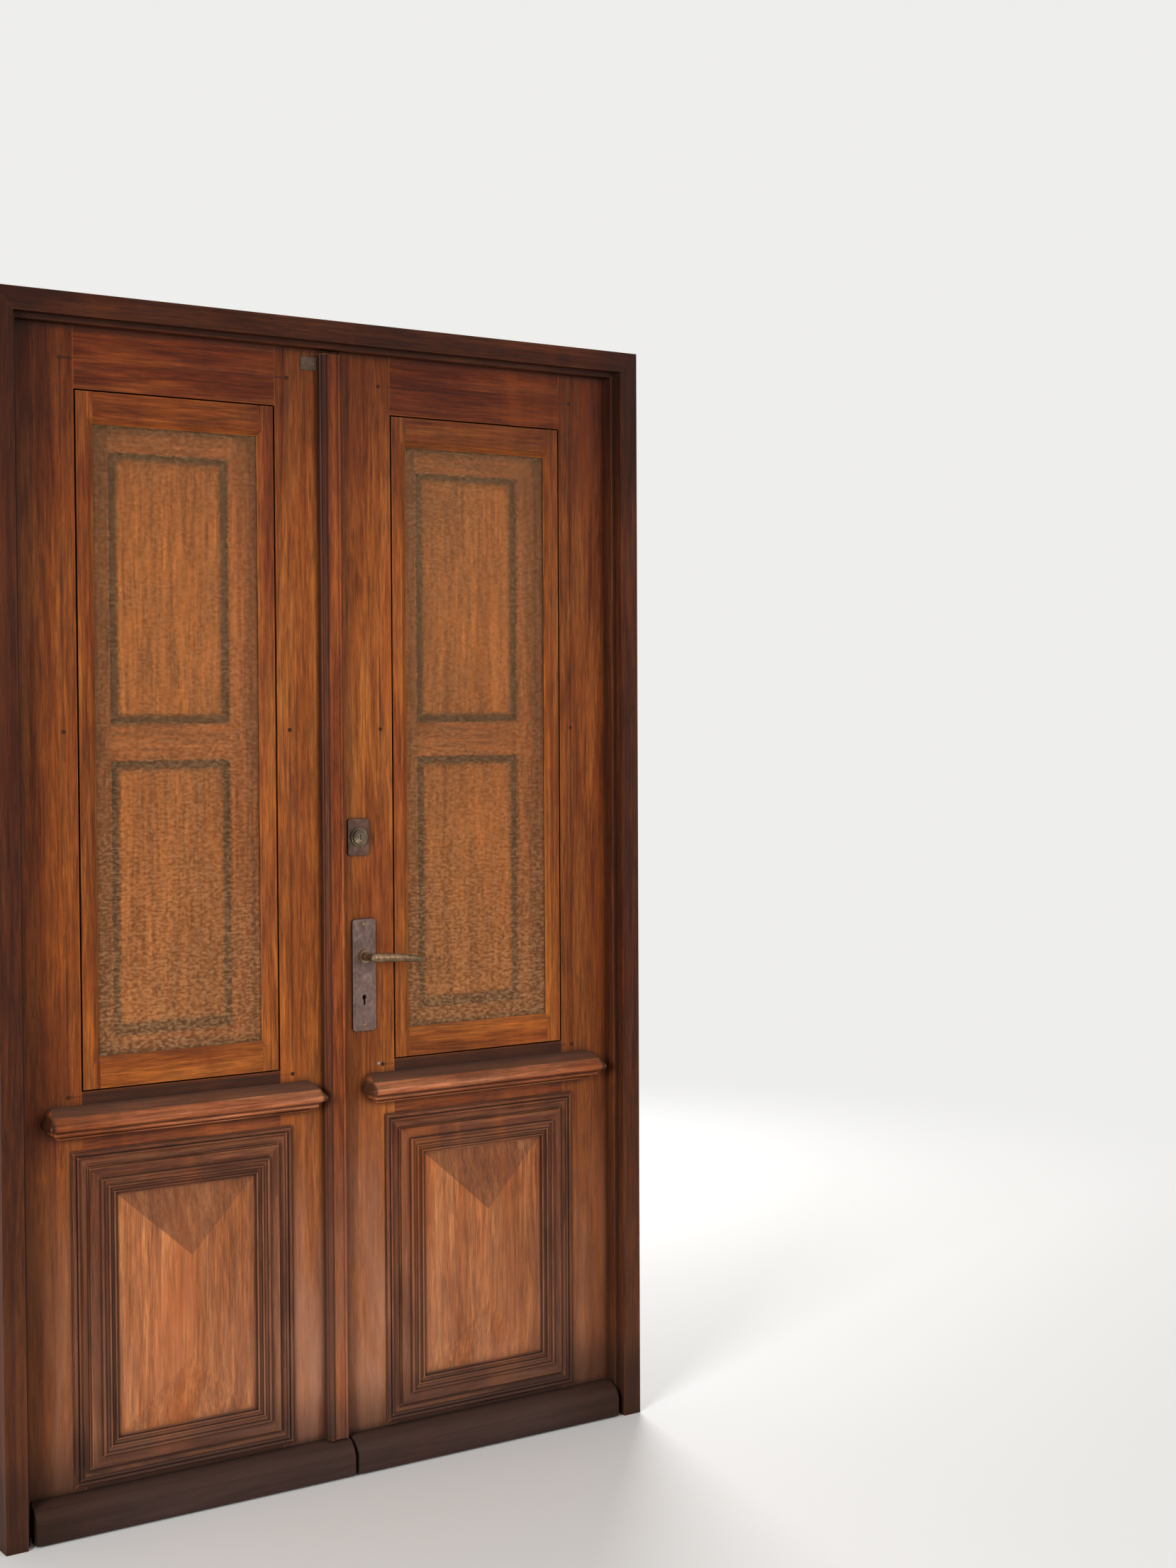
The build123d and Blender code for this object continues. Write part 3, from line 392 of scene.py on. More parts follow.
def weatheredAndShaded(tree, look, colour, masks, x, z):
    layers = [
        (masks["glow"], weatherAndShade["glowTone"], "MIX"),
        (masks["dust"], weatherAndShade["dustTone"], "MIX"),
        (masks["splash"], weatherAndShade["splashTone"], "MIX"),
        (masks["stain"], stainLine["tone"], "MIX"),
    ]
    # each piece's own painted shade, in the shade tone
    if "shade" in look:
        layers.append((look["shade"](tree, x, z), weatherAndShade["grimeTone"], "MIX"))
    layers += [
        # painted shade towards the top of the door, multiplied in
        (masks["topShade"], weatherAndShade["topShadeTint"], "MULTIPLY"),
        # painted shade on the hinge side, multiplied in
        (masks["hingeSideShade"], weatherAndShade["hingeSideShadeTint"], "MULTIPLY"),
        # faces that tilt a little upward are darkened
        (masks["slope"], weatherAndShade["slopeTone"], "MIX"),
        (masks["settled"], weatherAndShade["settledTone"], "MIX"),
        # painted shade in the band above the ledge
        (masks["strip"], weatherAndShade["grimeTone"], "MIX"),
        # painted shade in corners and creases
        (masks["grime"], weatherAndShade["grimeTone"], "MIX"),
        (masks["edge"], look["tones"][-1], "MIX"),
    ]
    for mask, over, how in layers:
        colour = blendColours(tree, mask, colour, over, how)
    return colour


woodSurface = {
    "figureSpan": (0.3, 0.7),
    "dullest": 0.08,
    "glossiest": -0.04,
    "dustDulls": 0.30,
    "settledDulls": 0.25,
    "specular": 0.14,
    "figureHeight": 0.9,
    "poreHeight": -0.35,
    "bumpStrength": 0.42,
    "bumpDistance": 0.0006,
}


def woodMaterial(look):
    material, tree, shader = blankMaterial(look["name"])
    place = objectPlace(tree)
    x, y, z = axes(tree, place)
    along = grainPlace(tree, look, place, x, y, z)
    patterns = woodPatterns(tree, look, place, along)
    masks = weatherAndShadeMasks(tree, look, patterns, x, z)
    colour = weatheredAndShaded(tree, look, bareWood(tree, look, patterns, x, z), masks, x, z)

    rough = fade(tree, patterns["figure"], *woodSurface["figureSpan"],
                 look["gloss"] + woodSurface["dullest"], look["gloss"] + woodSurface["glossiest"])
    rough = plus(tree, rough, times(tree, masks["dust"], woodSurface["dustDulls"]))
    rough = plus(tree, rough, times(tree, masks["settled"], woodSurface["settledDulls"]), True)

    figureHeight = times(tree, patterns["figure"], woodSurface["figureHeight"])
    poreHeight = times(tree, patterns["pores"], woodSurface["poreHeight"])
    height = plus(tree, plus(tree, patterns["fibres"], figureHeight), poreHeight)
    feed(tree, shader, {
        "Base Color": colour, "Roughness": rough, "Specular IOR Level": woodSurface["specular"],
        "Normal": bumped(tree, height, woodSurface["bumpStrength"], woodSurface["bumpDistance"])})
    return material


# varnished hardwood: painted shade on single pieces

shutterFold = {"middle": 1.441, "halfHeight": 0.540, "halfWidth": 0.1215, "halfRail": 0.034,
               "rimWidth": 0.022, "rimFull": 0.6, "shade": 0.85}
ledgeEnds = {"inner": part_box("right_ledge")[0][0], "outer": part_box("right_ledge")[1][0],
             "reach": 0.014, "full": 0.006, "shade": 0.85}
astragalEdge = {"from": -0.021, "to": -0.026, "shade": 0.68}


def shutterPanelShade(tree, x, z):
    # painted shade darkens the outer rim of each board, where it runs into the frame
    beside, past = pastEdges(tree, x, z, shutterFold)
    short = minus(tree, shutterFold["halfRail"] - shutterFold["halfHeight"], past)
    nearest = larger(tree, larger(tree, beside, past), short)
    rim = -shutterFold["rimWidth"]
    return fade(tree, nearest, rim, rim * shutterFold["rimFull"], 0.0, shutterFold["shade"])


def ledgeShade(tree, x, z):
    # painted shade makes the returned ends nearly black
    offCentre = absolute(tree, x)
    reach, full = ledgeEnds["reach"], ledgeEnds["full"]
    inner = fade(tree, offCentre, ledgeEnds["inner"] + reach, ledgeEnds["inner"] + full)
    outer = fade(tree, offCentre, ledgeEnds["outer"] - reach, ledgeEnds["outer"] - full)
    return times(tree, larger(tree, inner, outer), ledgeEnds["shade"])


def astragalShade(tree, x, z):
    # painted shade makes the side away from the joint almost black
    return fade(tree, x, astragalEdge["from"], astragalEdge["to"], 0.0, astragalEdge["shade"])


# varnished hardwood: every wooden piece

plainWood = {"shift": 0.0, "halfWidth": 0.0, "halfHeight": 0.0, "middle": 0.0,
             "glow": 0.0, "red": 0.3, "streak": 0.65, "dust": 0.2, "strip": 0.0, "stain": 0.0,
             "grime": 0.75, "splash": 0.66, "splashTop": 0.20, "gloss": 0.50, "slope": 0.15,
             "settle": 0.62, "settleFrom": 0.35}
panelField = outline("right_panel", 0.074)
beadOpening = outline("right_glass", 0.0225)

woodLooks = {
    "stiles": {"name": "stileWood", "tones": varnish, "grain": "upright",
               "glow": 0.40, "red": 0.45, "dust": 0.74, "stain": 0.70, "gloss": 0.48},
    "leaf_rails": {"name": "railWood", "tones": redVarnish, "grain": "level", "shift": 4.7,
                   "glow": 0.30, "red": 0.45, "dust": 0.60, "strip": 0.80, "stain": 0.55,
                   "splash": 0.85, "splashTop": 0.28},
    "panel": {"name": "panelWood", "tones": wornVarnish, "grain": "fielded", "shift": 9.1,
              "glow": 0.35, "dust": 0.32, "gloss": 0.52, "slope": 0.50, **panelField},
    "panel_mouldings": {"name": "mouldingWood", "tones": shadedMouldingVarnish, "grain": "mitred",
                        "shift": 13.3, "glow": 0.15, "dust": 0.30, "grime": 0.92, "gloss": 0.54,
                        "splash": 0.80, "splashTop": 0.34, **panelField},
    "ledge": {"name": "ledgeWood", "tones": ledgeVarnish, "grain": "level", "shift": 17.9,
              "glow": 0.35, "dust": 0.15, "gloss": 0.44, "slope": 0.05, "settle": 0.80,
              "settleFrom": 0.70, "shade": ledgeShade},
    "base_board": {"name": "baseBoardWood", "tones": boardVarnish, "grain": "level", "shift": 21.1,
                   "red": 0.15, "dust": 0.10, "gloss": 0.60, "settle": 0.15},
    "sash_frame": {"name": "sashWood", "tones": varnish, "grain": "butted", "shift": 25.7,
                   "halfWidth": 0.1645, "glow": 0.25, "red": 0.55, "dust": 0.40, "grime": 0.90,
                   "gloss": 0.46},
    "glazing_beads": {"name": "beadWood", "tones": redVarnish, "grain": "mitred", "shift": 29.3,
                      **beadOpening},
    "shutter_frame": {"name": "shutterWood", "tones": shutterVarnish, "grain": "butted",
                      "shift": 33.1, "halfWidth": 0.1215, "glow": 0.10, "red": 0.15, "dust": 0.10,
                      "grime": 0.40, "streak": 0.35},
    "shutter_panels": {"name": "shutterPanelWood", "tones": shutterPanelVarnish,
                       "grain": "upright", "shift": 37.9, "glow": 0.10, "red": 0.10, "dust": 0.10,
                       "grime": 0.80, "streak": 0.35, "shade": shutterPanelShade},
    "jamb": {"name": "jambWood", "tones": darkVarnish, "grain": "upright", "shift": 41.3,
             "glow": 0.10, "gloss": 0.56, "grime": 0.60},
}
headLook = {**woodLooks["jamb"], "name": "headWood", "grain": "level", "shift": 45.1}
astragalLook = {"name": "astragalWood", "tones": redVarnish, "grain": "upright", "shift": 49.7,
                "glow": 0.30, "dust": 0.5, "shade": astragalShade}

for ending, look in woodLooks.items():
    dress([side + "_" + ending for side in sides], woodMaterial({**plainWood, **look}))
dress(["head"], woodMaterial({**plainWood, **headLook}))
dress(["astragal"], woodMaterial({**plainWood, **astragalLook}))
print("wood done")


# rippled glass

glassLook = {
    "tint": tone(250, 244, 234),
    "shine": tone(142, 124, 100),
    "shineRoughness": 0.22,
    "bend": 1.30,
    "mirrorBend": 1.45,
    "roughness": 0.03,
    "ripples": ((104, 104, 200), 1.0, 0.5, 0.5, 0.0),
    "waves": ((9, 9, 5), 2.0, 0.5, 0.0, 0.0),
    "waveHeight": 0.8,
    "bumpStrength": 0.75,
    "bumpDistance": 0.0021,
}

# each ripple gathers and spreads the light behind it, most of all near the foot
glassGlint = {"heights": (1.75, 0.95), "high": 0.025, "low": 0.055,
              "span": (0.36, 0.64, -1.0, 1.0)}

# a thin film of dust, thicker towards the foot of the pane and at the ripples' edges; its colour is
# lighter on the ripple tops and darker in their hollows, a painted highlight and painted shade
glassDustAndRippleLight = {
    "tone": tone(174, 130, 92),
    "rippleShadeTone": tone(110, 78, 54),
    "litCrests": (0.40, 0.60),
    "film": ((5, 5, 3), 5.0, 0.65, 0.0, 0.0),
    "filmSpan": (0.30, 0.75, 0.05, 0.14),
    "footSpan": (1.35, 0.86, 0.0, 0.12),
    "grit": ((320, 320, 320), 2.0, 0.6, 0.0, 0.0),
    "gritSpan": (0.25, 0.65, 0.7, 1.1),
    "edgeSpan": (0.02, 0.14, 0.0, 0.11),
    "edgeHeights": (1.75, 0.90, 0.25, 1.0),
}
noiseMiddle = 0.5


def glassPane(tree, z, ripples, rippled):
    strength = fade(tree, z, *glassGlint["heights"], glassGlint["high"], glassGlint["low"])
    swing = times(tree, fade(tree, ripples, *glassGlint["span"]), strength)
    gathered = scaleColour(tree, glassLook["tint"], plus(tree, swing, 1.0))
    through = add(tree, "BsdfRefraction", {"Color": gathered, "IOR": glassLook["bend"],
                                           "Roughness": glassLook["roughness"],
                                           "Normal": rippled})
    mirror = add(tree, "BsdfAnisotropic", {"Color": glassLook["shine"],
                                           "Roughness": glassLook["shineRoughness"],
                                           "Normal": rippled})
    glancing = add(tree, "Fresnel", {"IOR": glassLook["mirrorBend"], "Normal": rippled}).outputs[0]
    return blendShaders(tree, glancing, through, mirror)


def dustAndRippleLightFilm(tree, place, z, ripples, rippled):
    film = fade(tree, cloud(tree, place, glassDustAndRippleLight["film"]), *glassDustAndRippleLight["filmSpan"])
    grit = fade(tree, cloud(tree, place, glassDustAndRippleLight["grit"]), *glassDustAndRippleLight["gritSpan"])
    amount = times(tree, plus(tree, film, fade(tree, z, *glassDustAndRippleLight["footSpan"])), grit)
    offMiddle = absolute(tree, minus(tree, ripples, noiseMiddle))
    edges = times(tree, fade(tree, offMiddle, *glassDustAndRippleLight["edgeSpan"]),
                  fade(tree, z, *glassDustAndRippleLight["edgeHeights"]))
    # painted highlight on the ripple tops and painted shade in their hollows
    litCrests = fade(tree, ripples, *glassDustAndRippleLight["litCrests"])
    dustAndRippleLightTone = blendColours(tree, litCrests, glassDustAndRippleLight["rippleShadeTone"], glassDustAndRippleLight["tone"])
    dust = add(tree, "BsdfDiffuse", {"Color": dustAndRippleLightTone, "Normal": rippled})
    return plus(tree, amount, edges, True), dust


def glassMaterial():
    material, tree, shader = blankMaterial("rippledGlass")
    place = objectPlace(tree)
    z = axes(tree, place)["Z"]
    ripples = cloud(tree, place, glassLook["ripples"])
    waves = times(tree, cloud(tree, place, glassLook["waves"]), glassLook["waveHeight"])
    rippled = bumped(tree, plus(tree, ripples, waves), glassLook["bumpStrength"],
                     glassLook["bumpDistance"])
    amount, dust = dustAndRippleLightFilm(tree, place, z, ripples, rippled)
    dustedAndRippleLit = blendShaders(tree, amount, glassPane(tree, z, ripples, rippled), dust)

    # lamps and soft light reach the shutter behind the pane
    clear = add(tree, "BsdfTransparent", {"Color": glassLook["tint"]})
    rays = add(tree, "LightPath").outputs
    lighting = larger(tree, rays["Is Shadow Ray"], rays["Is Diffuse Ray"])
    seen = blendShaders(tree, lighting, dustedAndRippleLit, clear)
    tree.links.new(seen.outputs[0], tree.nodes["Material Output"].inputs["Surface"])
    tree.nodes.remove(shader)
    return material


dress([side + "_glass" for side in sides], glassMaterial())
print("glass done")


# metals

metalLooks = {
    "patinatedBronze": {
        "tones": (tone(86, 64, 58), tone(106, 82, 74), tone(126, 102, 92)),
        "metallic": 0.55, "roughness": 0.46, "spots": tone(56, 66, 56), "wear": 0.55,
        "nodes": ("outer_plate",),
    },
    "handledBronze": {
        "tones": (tone(84, 62, 44), tone(122, 96, 72), tone(168, 140, 108)),
        "metallic": 0.85, "roughness": 0.28, "spots": tone(64, 60, 48), "wear": 0.85,
        "nodes": ("outer_lever",),
    },
    "insideBronze": {
        "tones": (tone(96, 72, 44), tone(140, 108, 66), tone(176, 142, 92)),
        "metallic": 0.85, "roughness": 0.34, "spots": tone(70, 54, 38), "wear": 0.60,
        "nodes": ("inner_plate", "inner_knob"),
    },
    "lockBrass": {
        "tones": (tone(48, 38, 30), tone(82, 68, 52), tone(142, 124, 96)),
        "metallic": 0.75, "roughness": 0.42, "spots": tone(46, 32, 24), "wear": 0.50,
        "nodes": ("cylinder", "cylinder_plug", "rim_latch_knob"),
    },
    "brownPlate": {
        "tones": (tone(54, 32, 20), tone(78, 48, 32), tone(104, 68, 46)),
        "metallic": 0.30, "roughness": 0.50, "spots": tone(60, 36, 26), "wear": 0.40,
        "nodes": ("cylinder_plate",),
    },
    # a dark brown plate, darkened further with painted shade
    "brownAndShadedPlate": {
        "tones": (tone(38, 23, 12), tone(56, 35, 19), tone(76, 50, 29)),
        "metallic": 0.10, "roughness": 0.55, "spots": tone(58, 36, 22), "wear": 0.45,
        "nodes": ("cover_plate",),
    },
    "plainSteel": {
        "tones": (tone(104, 100, 94), tone(142, 138, 132), tone(176, 172, 166)),
        "metallic": 0.85, "roughness": 0.40, "spots": tone(104, 66, 42), "wear": 0.45,
        "nodes": ("latch_bolt", "deadbolt", "strike_plate", "lock_case", "rim_latch_bolt",
                  "top_bolt", "bottom_bolt", "bolt_guides", "head_keep",
                  "right_sash_button", "left_sash_button", "right_shutter_button",
                  "left_shutter_button"),
    },
    "darkSteel": {
        "tones": (tone(48, 44, 42), tone(74, 68, 64), tone(112, 104, 98)),
        "metallic": 0.70, "roughness": 0.48, "spots": tone(98, 58, 36), "wear": 0.60,
        "nodes": ("rim_latch_case", "rim_keep", "right_frame_hinges", "left_frame_hinges",
                  "right_leaf_hinges", "left_leaf_hinges", "right_sash_hinges", "left_sash_hinges",
                  "right_shutter_hinges", "left_shutter_hinges"),
    },
}
metalSurface = {
    "patina": ((62, 62, 48), 6.0, 0.68, 0.8, 0.0),
    "toneStops": (0.32, 0.52, 0.72),
    "scratches": ((900, 900, 90), 2.0, 0.6, 0.0, 5.0),
    "scratchShades": (0.35, 0.65, 0.88, 1.08),
    "pits": ((420, 420, 420), 3.0, 0.6, 0.0, 9.0),
    "spotSpan": (0.58, 0.68, 0.0, 0.65),
    "cornerReach": 0.006,
    "cornerSpan": (0.85, 0.35, 0.0, 0.75),
    "edgeReach": 0.0025,
    "edgeSpan": (0.80, 0.45, 0.0),
    "patinaSpan": (0.3, 0.7),
    "dullest": 0.14,
    "glossiest": -0.08,
    "spotsDull": 0.2,
    "pitHeight": -1.0,
    "scratchHeight": 0.3,
    "bumpStrength": 0.35,
    "bumpDistance": 0.0004,
}


def metalMaterial(name, look):
    material, tree, shader = blankMaterial(name)
    place = objectPlace(tree)
    patina = cloud(tree, place, metalSurface["patina"])
    scratches = cloud(tree, place, metalSurface["scratches"])
    pits = cloud(tree, place, metalSurface["pits"])
    colour = ramp(tree, patina, metalSurface["toneStops"], look["tones"])
    spots = fade(tree, pits, *metalSurface["spotSpan"])
    colour = blendColours(tree, spots, colour, look["spots"])
    colour = scaleColour(tree, colour, fade(tree, scratches, *metalSurface["scratchShades"]))
    corners = fade(tree, openness(tree, metalSurface["cornerReach"]), *metalSurface["cornerSpan"])
    colour = blendColours(tree, corners, colour, look["tones"][0])
    rubbed = fade(tree, openness(tree, metalSurface["edgeReach"], True),
                  *metalSurface["edgeSpan"], look["wear"])
    colour = blendColours(tree, rubbed, colour, look["tones"][-1])

    rough = fade(tree, patina, *metalSurface["patinaSpan"],
                 look["roughness"] + metalSurface["dullest"],
                 look["roughness"] + metalSurface["glossiest"])
    rough = plus(tree, rough, times(tree, spots, metalSurface["spotsDull"]), True)
    height = plus(tree, times(tree, pits, metalSurface["pitHeight"]),
                  times(tree, scratches, metalSurface["scratchHeight"]))
    feed(tree, shader, {
        "Base Color": colour, "Roughness": rough, "Metallic": look["metallic"],
        "Normal": bumped(tree, height, metalSurface["bumpStrength"],
                         metalSurface["bumpDistance"])})
    return material


metals = {}
for name, look in metalLooks.items():
    metals[name] = metalMaterial(name, look)
    dress(look["nodes"], metals[name])
print("metals done")


# small hardware, modelled once and copied

facingLimit = 0.9      # a face looks along an axis where its normal has more than this of it
smoothAngle = 0.6      # radians between faces that are still shaded as one


def selectOnly(piece):
    bpy.ops.object.select_all(action="DESELECT")
    piece.select_set(True)
    bpy.context.view_layer.objects.active = piece


def settleShape(piece):
    # the place, turn and size it was added with go into its mesh
    selectOnly(piece)
    bpy.ops.object.transform_apply(location=True, rotation=True, scale=True)


def editFaces(piece, test):
    # faces are chosen in object mode, by which way they look
    selectOnly(piece)
    bpy.ops.object.mode_set(mode="EDIT")
    bpy.ops.mesh.select_mode(type="FACE")
    bpy.ops.mesh.select_all(action="DESELECT")
    bpy.ops.object.mode_set(mode="OBJECT")
    for face in piece.data.polygons:
        face.select = test(face)
    bpy.ops.object.mode_set(mode="EDIT")


def doneEditing(piece):
    bpy.ops.object.mode_set(mode="OBJECT")
    selectOnly(piece)
    bpy.ops.object.shade_smooth_by_angle(angle=smoothAngle)


def joined(copies, name):
    selectOnly(copies[0])
    for copy in copies:
        copy.select_set(True)
    if len(copies) > 1:
        bpy.ops.object.join()
    piece = bpy.context.view_layer.objects.active
    piece.name = name
    piece.data.name = name
    return piece


def placedCopies(master, spots, name, material, body):
    # each spot is a full placement, and goes into its copy's own mesh
    copies = []
    for spot in spots:
        copy = bpy.data.objects.new(name, master.data.copy())
        bpy.context.scene.collection.objects.link(copy)
        copy.data.transform(spot)
        copies.append(copy)
    piece = joined(copies, name)
    piece.data.materials.clear()
    piece.data.materials.append(material)
    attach(piece, body)
    return piece


# countersunk screw with a driver slot, radius 1, facing +Y

screwSize = {"sides": 20, "length": 0.8, "stand": 0.26, "dish": 0.12, "dishDrop": 0.072,
             "hollowDrop": 0.048, "slotWidth": 0.26, "slotDepth": 0.34, "slotLength": 3.0,
             "slotRise": 0.12}


def screwMaster():
    middle = screwSize["stand"] - screwSize["length"] / 2
    bpy.ops.mesh.primitive_cylinder_add(vertices=screwSize["sides"], radius=1.0,
                                        depth=screwSize["length"], location=(0, middle, 0),
                                        rotation=(math.pi / 2, 0, 0))
    screw = bpy.context.active_object
    settleShape(screw)
    editFaces(screw, lambda face: face.normal.y > facingLimit)
    bpy.ops.mesh.inset(thickness=screwSize["dish"], depth=screwSize["dishDrop"])
    bpy.ops.mesh.inset(thickness=screwSize["dish"] * 2, depth=screwSize["hollowDrop"])
    doneEditing(screw)
    slotMiddle = screwSize["stand"] + screwSize["slotRise"]
    bpy.ops.mesh.primitive_cube_add(size=1.0, location=(0, slotMiddle, 0))
    cutter = bpy.context.active_object
    cutter.scale = (screwSize["slotLength"], screwSize["slotDepth"], screwSize["slotWidth"])
    settleShape(cutter)
    groove = screw.modifiers.new("slot", "BOOLEAN")
    groove.operation = "DIFFERENCE"
    groove.solver = "EXACT"
    groove.object = cutter
    selectOnly(screw)
    bpy.ops.object.modifier_apply(modifier=groove.name)
    bpy.data.objects.remove(cutter)
    return screw


slotTurn = {"byX": 37.0, "byZ": 91.0}      # radians of turn for each metre


def screwSpot(x, y, z, radius, facing):
    # every slot stands at its own angle, worked out from its place
    turn = Matrix.Rotation((x * slotTurn["byX"] + z * slotTurn["byZ"]) % math.pi, 4, "Y")
    side = Matrix.Identity(4) if facing > 0 else Matrix.Rotation(math.pi, 4, "Z")
    return Matrix.Translation((x, y, z)) @ side @ turn @ Matrix.Scale(radius, 4)


# the node whose ends give the hinges' heights, their places between those ends, the screw
# holes above and below the middle of each hinge, and the screws' radius
hingeScrews = {
    "leaf": ("_frame_hinges", (0.050, 0, -0.050), (-0.034, 0.0, 0.034), 0.0042),
    "sash": ("_sash_hinges", (0.035, -0.035), (-0.022, 0.022), 0.0034),
    "shutter": ("_shutter_hinges", (0.025, -0.025), (-0.015, 0.015), 0.0028),
}

# for each piece of screws, the hinge, the distance from its pin and the y of each plate
hingePlates = {
    "frame": (("leaf", 0.021, 0.048),),
    "leaf": (("leaf", -0.021, 0.048), ("sash", 0.0185, 0.0475)),
    "sash": (("sash", -0.0175, 0.0605), ("shutter", -0.0155, 0.060)),
    "shutter": (("shutter", 0.0155, 0.060),),
}

# screws in the corners of plates, inset from the ends of the node that they hold
plateScrews = {
    "outer_plate_screws": {"node": "outer_plate", "facing": -1, "across": (0,),
                           "up": (0.0105, -0.0105), "radius": 0.0042, "finish": "handledBronze",
                           "body": "right_leaf", "slot": "bronze"},
    "inner_plate_screws": {"node": "inner_plate", "facing": 1, "across": (0,),
                           "up": (0.0105, -0.0105), "radius": 0.0042, "finish": "insideBronze",
                           "body": "right_leaf", "slot": "bronze"},
    "latch_case_screws": {"node": "rim_latch_case", "facing": 1, "across": (0.008, -0.008),
                          "up": (0.008, -0.008), "radius": 0.0036, "finish": "plainSteel",
                          "body": "right_leaf", "slot": "steel"},
    "latch_keep_screws": {"node": "rim_keep", "facing": 1, "across": (0.006,),
                          "up": (0.0075, -0.0075), "radius": 0.0036, "finish": "plainSteel",
                          "body": "left_leaf", "slot": "steel"},
    "cover_plate_pins": {"node": "cover_plate", "facing": -1, "across": (0.006, -0.006),
                         "up": (0,), "radius": 0.0020, "finish": "darkSteel",
                         "body": "left_leaf", "slot": "dark_steel"},
}
ledgeScrew = {"fromEnd": 0.0405, "aboveLedge": 0.018, "radius": 0.0032}


def hingeHeights(hinge, side):
    node, places, holes, radius = hingeScrews[hinge]
    low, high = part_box(side + node)
    return between(low[2], high[2], places)


def hingeScrewSpots(hinge, side, x, y):
    node, places, holes, radius = hingeScrews[hinge]
    return [screwSpot(x, y, z + hole, radius, 1)
            for z in hingeHeights(hinge, side) for hole in holes]


def plateScrewSpots(held):
    low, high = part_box(held["node"])
    y = high[1] if held["facing"] > 0 else low[1]
    return [screwSpot(x, y, z, held["radius"], held["facing"])
            for z in between(low[2], high[2], held["up"])
            for x in between(low[0], high[0], held["across"])]


def ledgeScrewSpot():
    low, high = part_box("right_ledge")
    return screwSpot(low[0] + ledgeScrew["fromEnd"], 0.0, high[2] + ledgeScrew["aboveLedge"],
                     ledgeScrew["radius"], -1)


screw = screwMaster()
for side, sign in zip(sides, (1, -1)):
    for part, plates in hingePlates.items():
        spots = []
        for hinge, fromPin, y in plates:
            x = pins[side + "_" + hinge + "_hinge"][0] + sign * fromPin
            spots += hingeScrewSpots(hinge, side, x, y)
        body = "root" if part == "frame" else side + "_" + part
        placedCopies(screw, spots, side + "_" + part + "_hinge_screws", metals["darkSteel"],
                     body)
for name, held in plateScrews.items():
    placedCopies(screw, plateScrewSpots(held), name, metals[held["finish"]], held["body"])
placedCopies(screw, [ledgeScrewSpot()], "ledge_screw", metals["plainSteel"], "right_leaf")
bpy.data.objects.remove(screw)
print("screws done")


# turned finials above and below the hinges, unit radius, growing up from z = 0

finialSize = {"sides": 24, "foot": 0.2, "halfBarrel": 0.050, "radius": 0.0056}
# rise and radius of each step
finialSteps = ((0.10, 0.72), (0.25, 0.62), (0.15, 1.05), (0.35, 1.16), (0.35, 1.02), (0.30, 0.70),
               (0.18, 0.30))


def finialMaster():
    bpy.ops.mesh.primitive_cylinder_add(vertices=finialSize["sides"], radius=1.0,
                                        depth=finialSize["foot"],
                                        location=(0, 0, finialSize["foot"] / 2))
    finial = bpy.context.active_object
    settleShape(finial)
    editFaces(finial, lambda face: face.normal.z > facingLimit)
    radius = 1.0
    for rise, wanted in finialSteps:
        bpy.ops.mesh.extrude_region_move(TRANSFORM_OT_translate={"value": (0, 0, rise)})
        bpy.ops.transform.resize(value=(wanted / radius, wanted / radius, 1))
        radius = wanted
    doneEditing(finial)
    return finial


def finialSpots(side, up):
    x, y = pins[side + "_leaf_hinge"][:2]
    flip = Matrix.Identity(4) if up > 0 else Matrix.Rotation(math.pi, 4, "X")
    size = Matrix.Scale(finialSize["radius"], 4)
    return [Matrix.Translation((x, y, z + up * finialSize["halfBarrel"])) @ flip @ size
            for z in hingeHeights("leaf", side)]


finial = finialMaster()
for side in sides:
    placedCopies(finial, finialSpots(side, 1), side + "_leaf_hinge_finials", metals["darkSteel"],
                 side + "_leaf")
    placedCopies(finial, finialSpots(side, -1), side + "_frame_hinge_finials",
                 metals["darkSteel"], "root")
bpy.data.objects.remove(finial)
print("finials done")


# old screw holes in the stiles beside each sash

holeSize = {"radius": 0.0038, "middleDrop": 0.0045, "sides": 18, "length": 0.20, "sunk": 0.02,
            "rim": 0.16, "taper": 0.10, "depth": 0.09}
holeLook = {"tones": (tone(30, 18, 13), tone(84, 46, 26)), "toneStops": (0.4, 0.7),
            "crumbs": ((700, 700, 700), 3.0, 0.6, 0.0, 0.0), "roughness": 0.85, "specular": 0.15,
            "bumpStrength": 0.5, "bumpDistance": 0.0004}


def holeMaterial():
    material, tree, shader = blankMaterial("holeShadow")
    crumbs = cloud(tree, objectPlace(tree), holeLook["crumbs"])
    feed(tree, shader, {
        "Base Color": ramp(tree, crumbs, holeLook["toneStops"], holeLook["tones"]),
        "Roughness": holeLook["roughness"], "Specular IOR Level": holeLook["specular"],
        "Normal": bumped(tree, crumbs, holeLook["bumpStrength"], holeLook["bumpDistance"])})
    return material


def holeMaster():
    # a splintered rim round a hollow, radius 1, facing -Y
    bpy.ops.mesh.primitive_cylinder_add(vertices=holeSize["sides"], radius=1.0,
                                        depth=holeSize["length"],
                                        location=(0, -holeSize["sunk"], 0),
                                        rotation=(math.pi / 2, 0, 0))
    hole = bpy.context.active_object
    settleShape(hole)
    editFaces(hole, lambda face: face.normal.y < -facingLimit)
    bpy.ops.mesh.inset(thickness=holeSize["rim"], depth=0.0)
    bpy.ops.mesh.inset(thickness=holeSize["taper"], depth=-holeSize["depth"])
    doneEditing(hole)
    return hole


